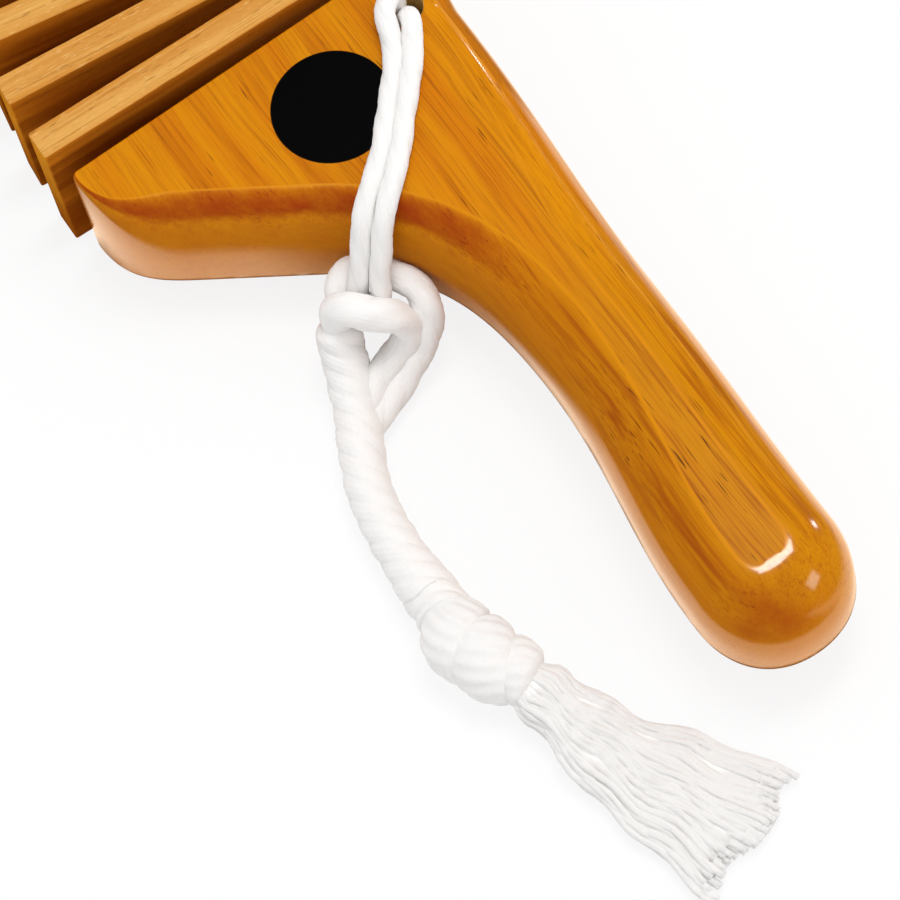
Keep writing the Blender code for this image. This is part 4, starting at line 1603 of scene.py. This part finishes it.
@dataclass(frozen=True)
class Studio:
    """White table, even room light, soft boxes, and a camera that stands where the photograph's did."""

    camera_place: Point = (-243.769 * MM, -662.533 * MM, 1343.784 * MM)
    camera_heading: tuple[float, float] = (0.32701, 0.94502)
    camera_fall: float = math.radians(65.5604)
    camera_roll: float = math.radians(16.9)
    lens: float = 280.0
    sensor: float = 36.0
    floor_half: float = 3.0
    floor_drop: float = 0.2 * MM
    sheet_halves: tuple[float, float] = (0.42, 0.36)
    sheet_step: float = 2.5 * MM
    outline_stride: int = 4
    contact: float = 3.5 * MM
    lit_near: tuple[float, float] = (4.0 * MM, 33.0 * MM)
    lit_far: tuple[float, float] = (26.0 * MM, 43.0 * MM)
    grip_span: tuple[float, float] = (-60.0 * MM, -85.0 * MM)
    tassel_place: tuple[float, float] = (-50.0 * MM, -66.0 * MM)
    tassel_shade: tuple[float, float] = (14.0 * MM, 34.0 * MM)
    table_white: Colour = (0.94, 0.94, 0.94)
    seen_white: float = 0.84
    glow: Colour = (1.0, 0.80, 0.60)
    glow_strength: float = 1.5
    lit_least: float = 0.04
    beyond_slope: float = 0.42
    beyond_start: tuple[float, float] = (-46.0 * MM, -34.0 * MM)
    beyond_end: tuple[float, float] = (25.0 * MM, 75.0 * MM)
    beyond_rise: float = 45.0 * MM
    room_light: float = 0.70
    room_gloss: float = 0.03
    lamps: tuple[Lamp, ...] = (
        Lamp("top_box", (0.19, -0.12, 1.5), (-0.065, 0.076, 0.0), (0.36, 0.60), 9.3),
        Lamp("side_strip", (0.345, -0.147, 0.036), (-0.111, -0.0276, 0.0352), (0.016, 0.06), 0.08),
        Lamp("end_box", (0.35, -0.38, 0.05), (-0.19, -0.123, 0.034), (0.05, 0.08), 0.18),
        Lamp("front_box", (-0.224, -0.848, 0.378), (-0.2021, -0.1254, 0.0337), (0.25, 0.25), 0.66),
    )

    def camera(self, handle: Placement) -> None:
        """Stand the camera, given in the left handle's frame, in the row's frame.

        Args:
            handle: The left handle's placement.
        """
        ahead = np.array([*self.camera_heading, 0.0])
        level = np.array([ahead[1], -ahead[0], 0.0])
        up = np.array([0.0, 0.0, 1.0])
        fall, roll = self.camera_fall, self.camera_roll
        forward = math.cos(fall) * ahead - math.sin(fall) * up
        upward = math.sin(fall) * ahead + math.cos(fall) * up
        right = math.cos(roll) * level - math.sin(roll) * upward
        above = math.sin(roll) * level + math.cos(roll) * upward
        origin = handle.world(np.zeros(3))
        axes = [handle.world(axis) - origin for axis in (right, above, -forward)]
        data = bpy.data.cameras.new("camera")
        data.lens, data.sensor_width = self.lens, self.sensor
        camera = bpy.data.objects.new("camera", data)
        columns = np.column_stack([*axes, handle.world(np.array(self.camera_place))])
        camera.matrix_world = Matrix([*columns.tolist(), [0, 0, 0, 1]])
        bpy.context.scene.collection.objects.link(camera)
        bpy.context.scene.camera = camera

    @staticmethod
    def apart(own: Array, corners: Array) -> Array:
        """Distance from points to the nearest corner of an outline, or 0 inside it.

        A point is inside if a line from it along x crosses an odd number of the outline's sides.

        Args:
            own: Points in the outline's plane.
            corners: The outline's corners in order.

        Returns:
            The distance of each point.
        """
        (x, y), (wide, high) = corners.T, (np.roll(corners, -1, axis=0) - corners).T
        slope = np.divide(wide, high, out=np.zeros_like(wide), where=high != 0)
        place_x, place_y = own[:, :1], own[:, 1:]
        nearest = np.hypot(place_x - x, place_y - y).min(axis=1)
        spanned = (place_y < y) != (place_y < np.roll(y, -1))
        crossed = spanned & (place_x < x + slope * (place_y - y))
        return np.where(crossed.sum(axis=1) % 2, 0.0, nearest)

    def lit(self, place: Array, plan: RowPlan, outline: Array) -> Array:
        """How bright the table's painted light looks in gloss, by place, with painted shadow at the contact
        line and under the tassel's eye.

        The table is bright from the contact line out to a short way from each handle, further along the
        grip than by the head and not under the tassel's eye. On the side that faces the other handle it is
        bright further out, up to a slanted line by the head. Every border is a smooth step.

        Args:
            place: Points on the table.
            plan: The row.
            outline: Plan outline of the left handle in its own frame.

        Returns:
            The brightness at each point, from the least to 1.
        """
        bright = np.full(len(place), self.lit_least)
        flat = np.column_stack([place, np.zeros(len(place))])
        for side in Side:
            own = plan.handle(side).local(flat)[:, :2] * [1.0, side.value]
            x, y = own.T
            apart = self.apart(own, outline[:: self.outline_stride])
            along = smooth_step(y, *self.grip_span)
            inner, outer = (first + (last - first) * along for first, last in (self.lit_near, self.lit_far))
            near = smooth_step(apart, outer, inner)
            near *= smooth_step(np.hypot(*(own - self.tassel_place).T), *self.tassel_shade)
            beyond = smooth_step(x, *self.beyond_end[::-1]) * smooth_step(x, 0.0, self.beyond_rise)
            beyond *= smooth_step(y - self.beyond_slope * x, *self.beyond_start[::-1])
            # Painted shadow: the glow fades out towards the contact line.
            open_air = smooth_step(apart, 0.0, self.contact)
            bright = np.maximum(bright, np.maximum(near, beyond) * open_air)
        return bright

    def floor(self, plan: RowPlan, outline: Array) -> None:
        """The table: a grid in a wide border, which notes at each point how bright its painted light looks in
        gloss.

        Args:
            plan: The row.
            outline: Plan outline of the left handle in its own frame.
        """
        border = self.floor_half
        lines = (np.arange(-half, half, self.sheet_step) for half in self.sheet_halves)
        x, y = np.meshgrid(*(np.concatenate([[-border], line, [border]]) for line in lines), indexing="ij")
        place = np.stack([x, y], axis=-1).reshape(-1, 2)
        index = np.arange(x.size).reshape(x.shape)
        quads = np.stack([index[:-1, :-1], index[1:, :-1], index[1:, 1:], index[:-1, 1:]], axis=-1)
        points = np.column_stack([place, np.full(len(place), -self.floor_drop)])
        mesh = Skin(points, quads.reshape(-1, 4).tolist()).mesh("table")
        Bench.note(mesh, "lit", self.lit(place, plan, outline))
        Bench.object("table", mesh, self.floor_finish())

    def floor_finish(self) -> bpy.types.Material:
        """White paper that shows white to the eye and keeps a faint shadow; in gloss it glows with painted
        warm light by place.

        Returns:
            The material.
        """
        g = Graph("table_white")
        g.surface(Base_Color=self.table_white, Roughness=0.9, Specular_IOR_Level=0.0)
        rays = g.add("LightPath", {})
        glossy = rays.outputs["Is Glossy Ray"]
        seen = g.times(rays.outputs["Is Camera Ray"], self.seen_white)
        share = g.math("MAXIMUM", g.math("MAXIMUM", seen, glossy), rays.outputs["Is Transmission Ray"])
        # Painted light: to glossy rays the table glows warm where the lit attribute is high.
        warm = g.times(g.attribute("lit", "Fac"), self.glow_strength)
        strength = g.add("Mix", {0: glossy, 2: 1.0, 3: warm}).outputs[0]
        glow = g.add("Emission", {"Color": g.mix(glossy, (1.0, 1.0, 1.0), self.glow), "Strength": strength})
        mixed = g.add("MixShader", {0: share, 1: g.shader.outputs[0], 2: glow.outputs[0]})
        output = next(n for n in g.tree.nodes if n.type == "OUTPUT_MATERIAL")
        g.join(mixed.outputs[0], output.inputs["Surface"])
        return g.material

    def room(self) -> None:
        """Light the room evenly, but leave it dark in mirror images, so that flat gloss keeps its colour."""
        world = bpy.data.worlds.new("room")
        world.use_nodes = True
        tree = world.node_tree
        background = tree.nodes["Background"]
        rays = tree.nodes.new("ShaderNodeLightPath")
        level = tree.nodes.new("ShaderNodeMapRange")
        for key, value in (("To Min", self.room_light), ("To Max", self.room_gloss)):
            level.inputs[key].default_value = value
        tree.links.new(rays.outputs["Is Glossy Ray"], level.inputs["Value"])
        tree.links.new(level.outputs["Result"], background.inputs["Strength"])
        background.inputs["Color"].default_value = (1.0, 1.0, 1.0, 1.0)
        bpy.context.scene.world = world

    def build(self, plan: RowPlan, outline: Array) -> None:
        """Set up camera, table, room and lamps.

        Args:
            plan: The row.
            outline: Plan outline of the left handle in its own frame.
        """
        bpy.context.scene.view_settings.view_transform = "Standard"
        self.camera(plan.handle(Side.LEFT))
        self.floor(plan, outline)
        self.room()
        for lamp in self.lamps:
            lamp.build()


def main() -> None:
    """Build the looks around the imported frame."""
    logging.basicConfig(level=logging.INFO, format="%(name)s: %(message)s")
    for item in list(bpy.data.objects):
        bpy.data.objects.remove(item)
    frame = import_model()
    joints = frame["joints"]
    plan = RowPlan(len(joints) - 1, tuple(joints[0]["pos_m"][:2]))
    Studio().build(plan, Handle().outline()[0])
    cotton, combed = CottonFinish().material(), COMBED.material()
    lacquer = HandleLacquer().material()
    for side in Side:
        end = EndCord(side, plan.handle(side))
        end.loop(cotton)
        end.tassel(cotton, combed)
        Handle().build(side, plan, lacquer)
    SlatRow().build(plan, SlatFinish().material())
    hole, offset = EndCord.hole_depth * MM, EndCord.leg_offset * MM
    StringRun().build(plan, (-hole + offset, -hole - offset), cotton)


if __name__ == "__main__":
    main()
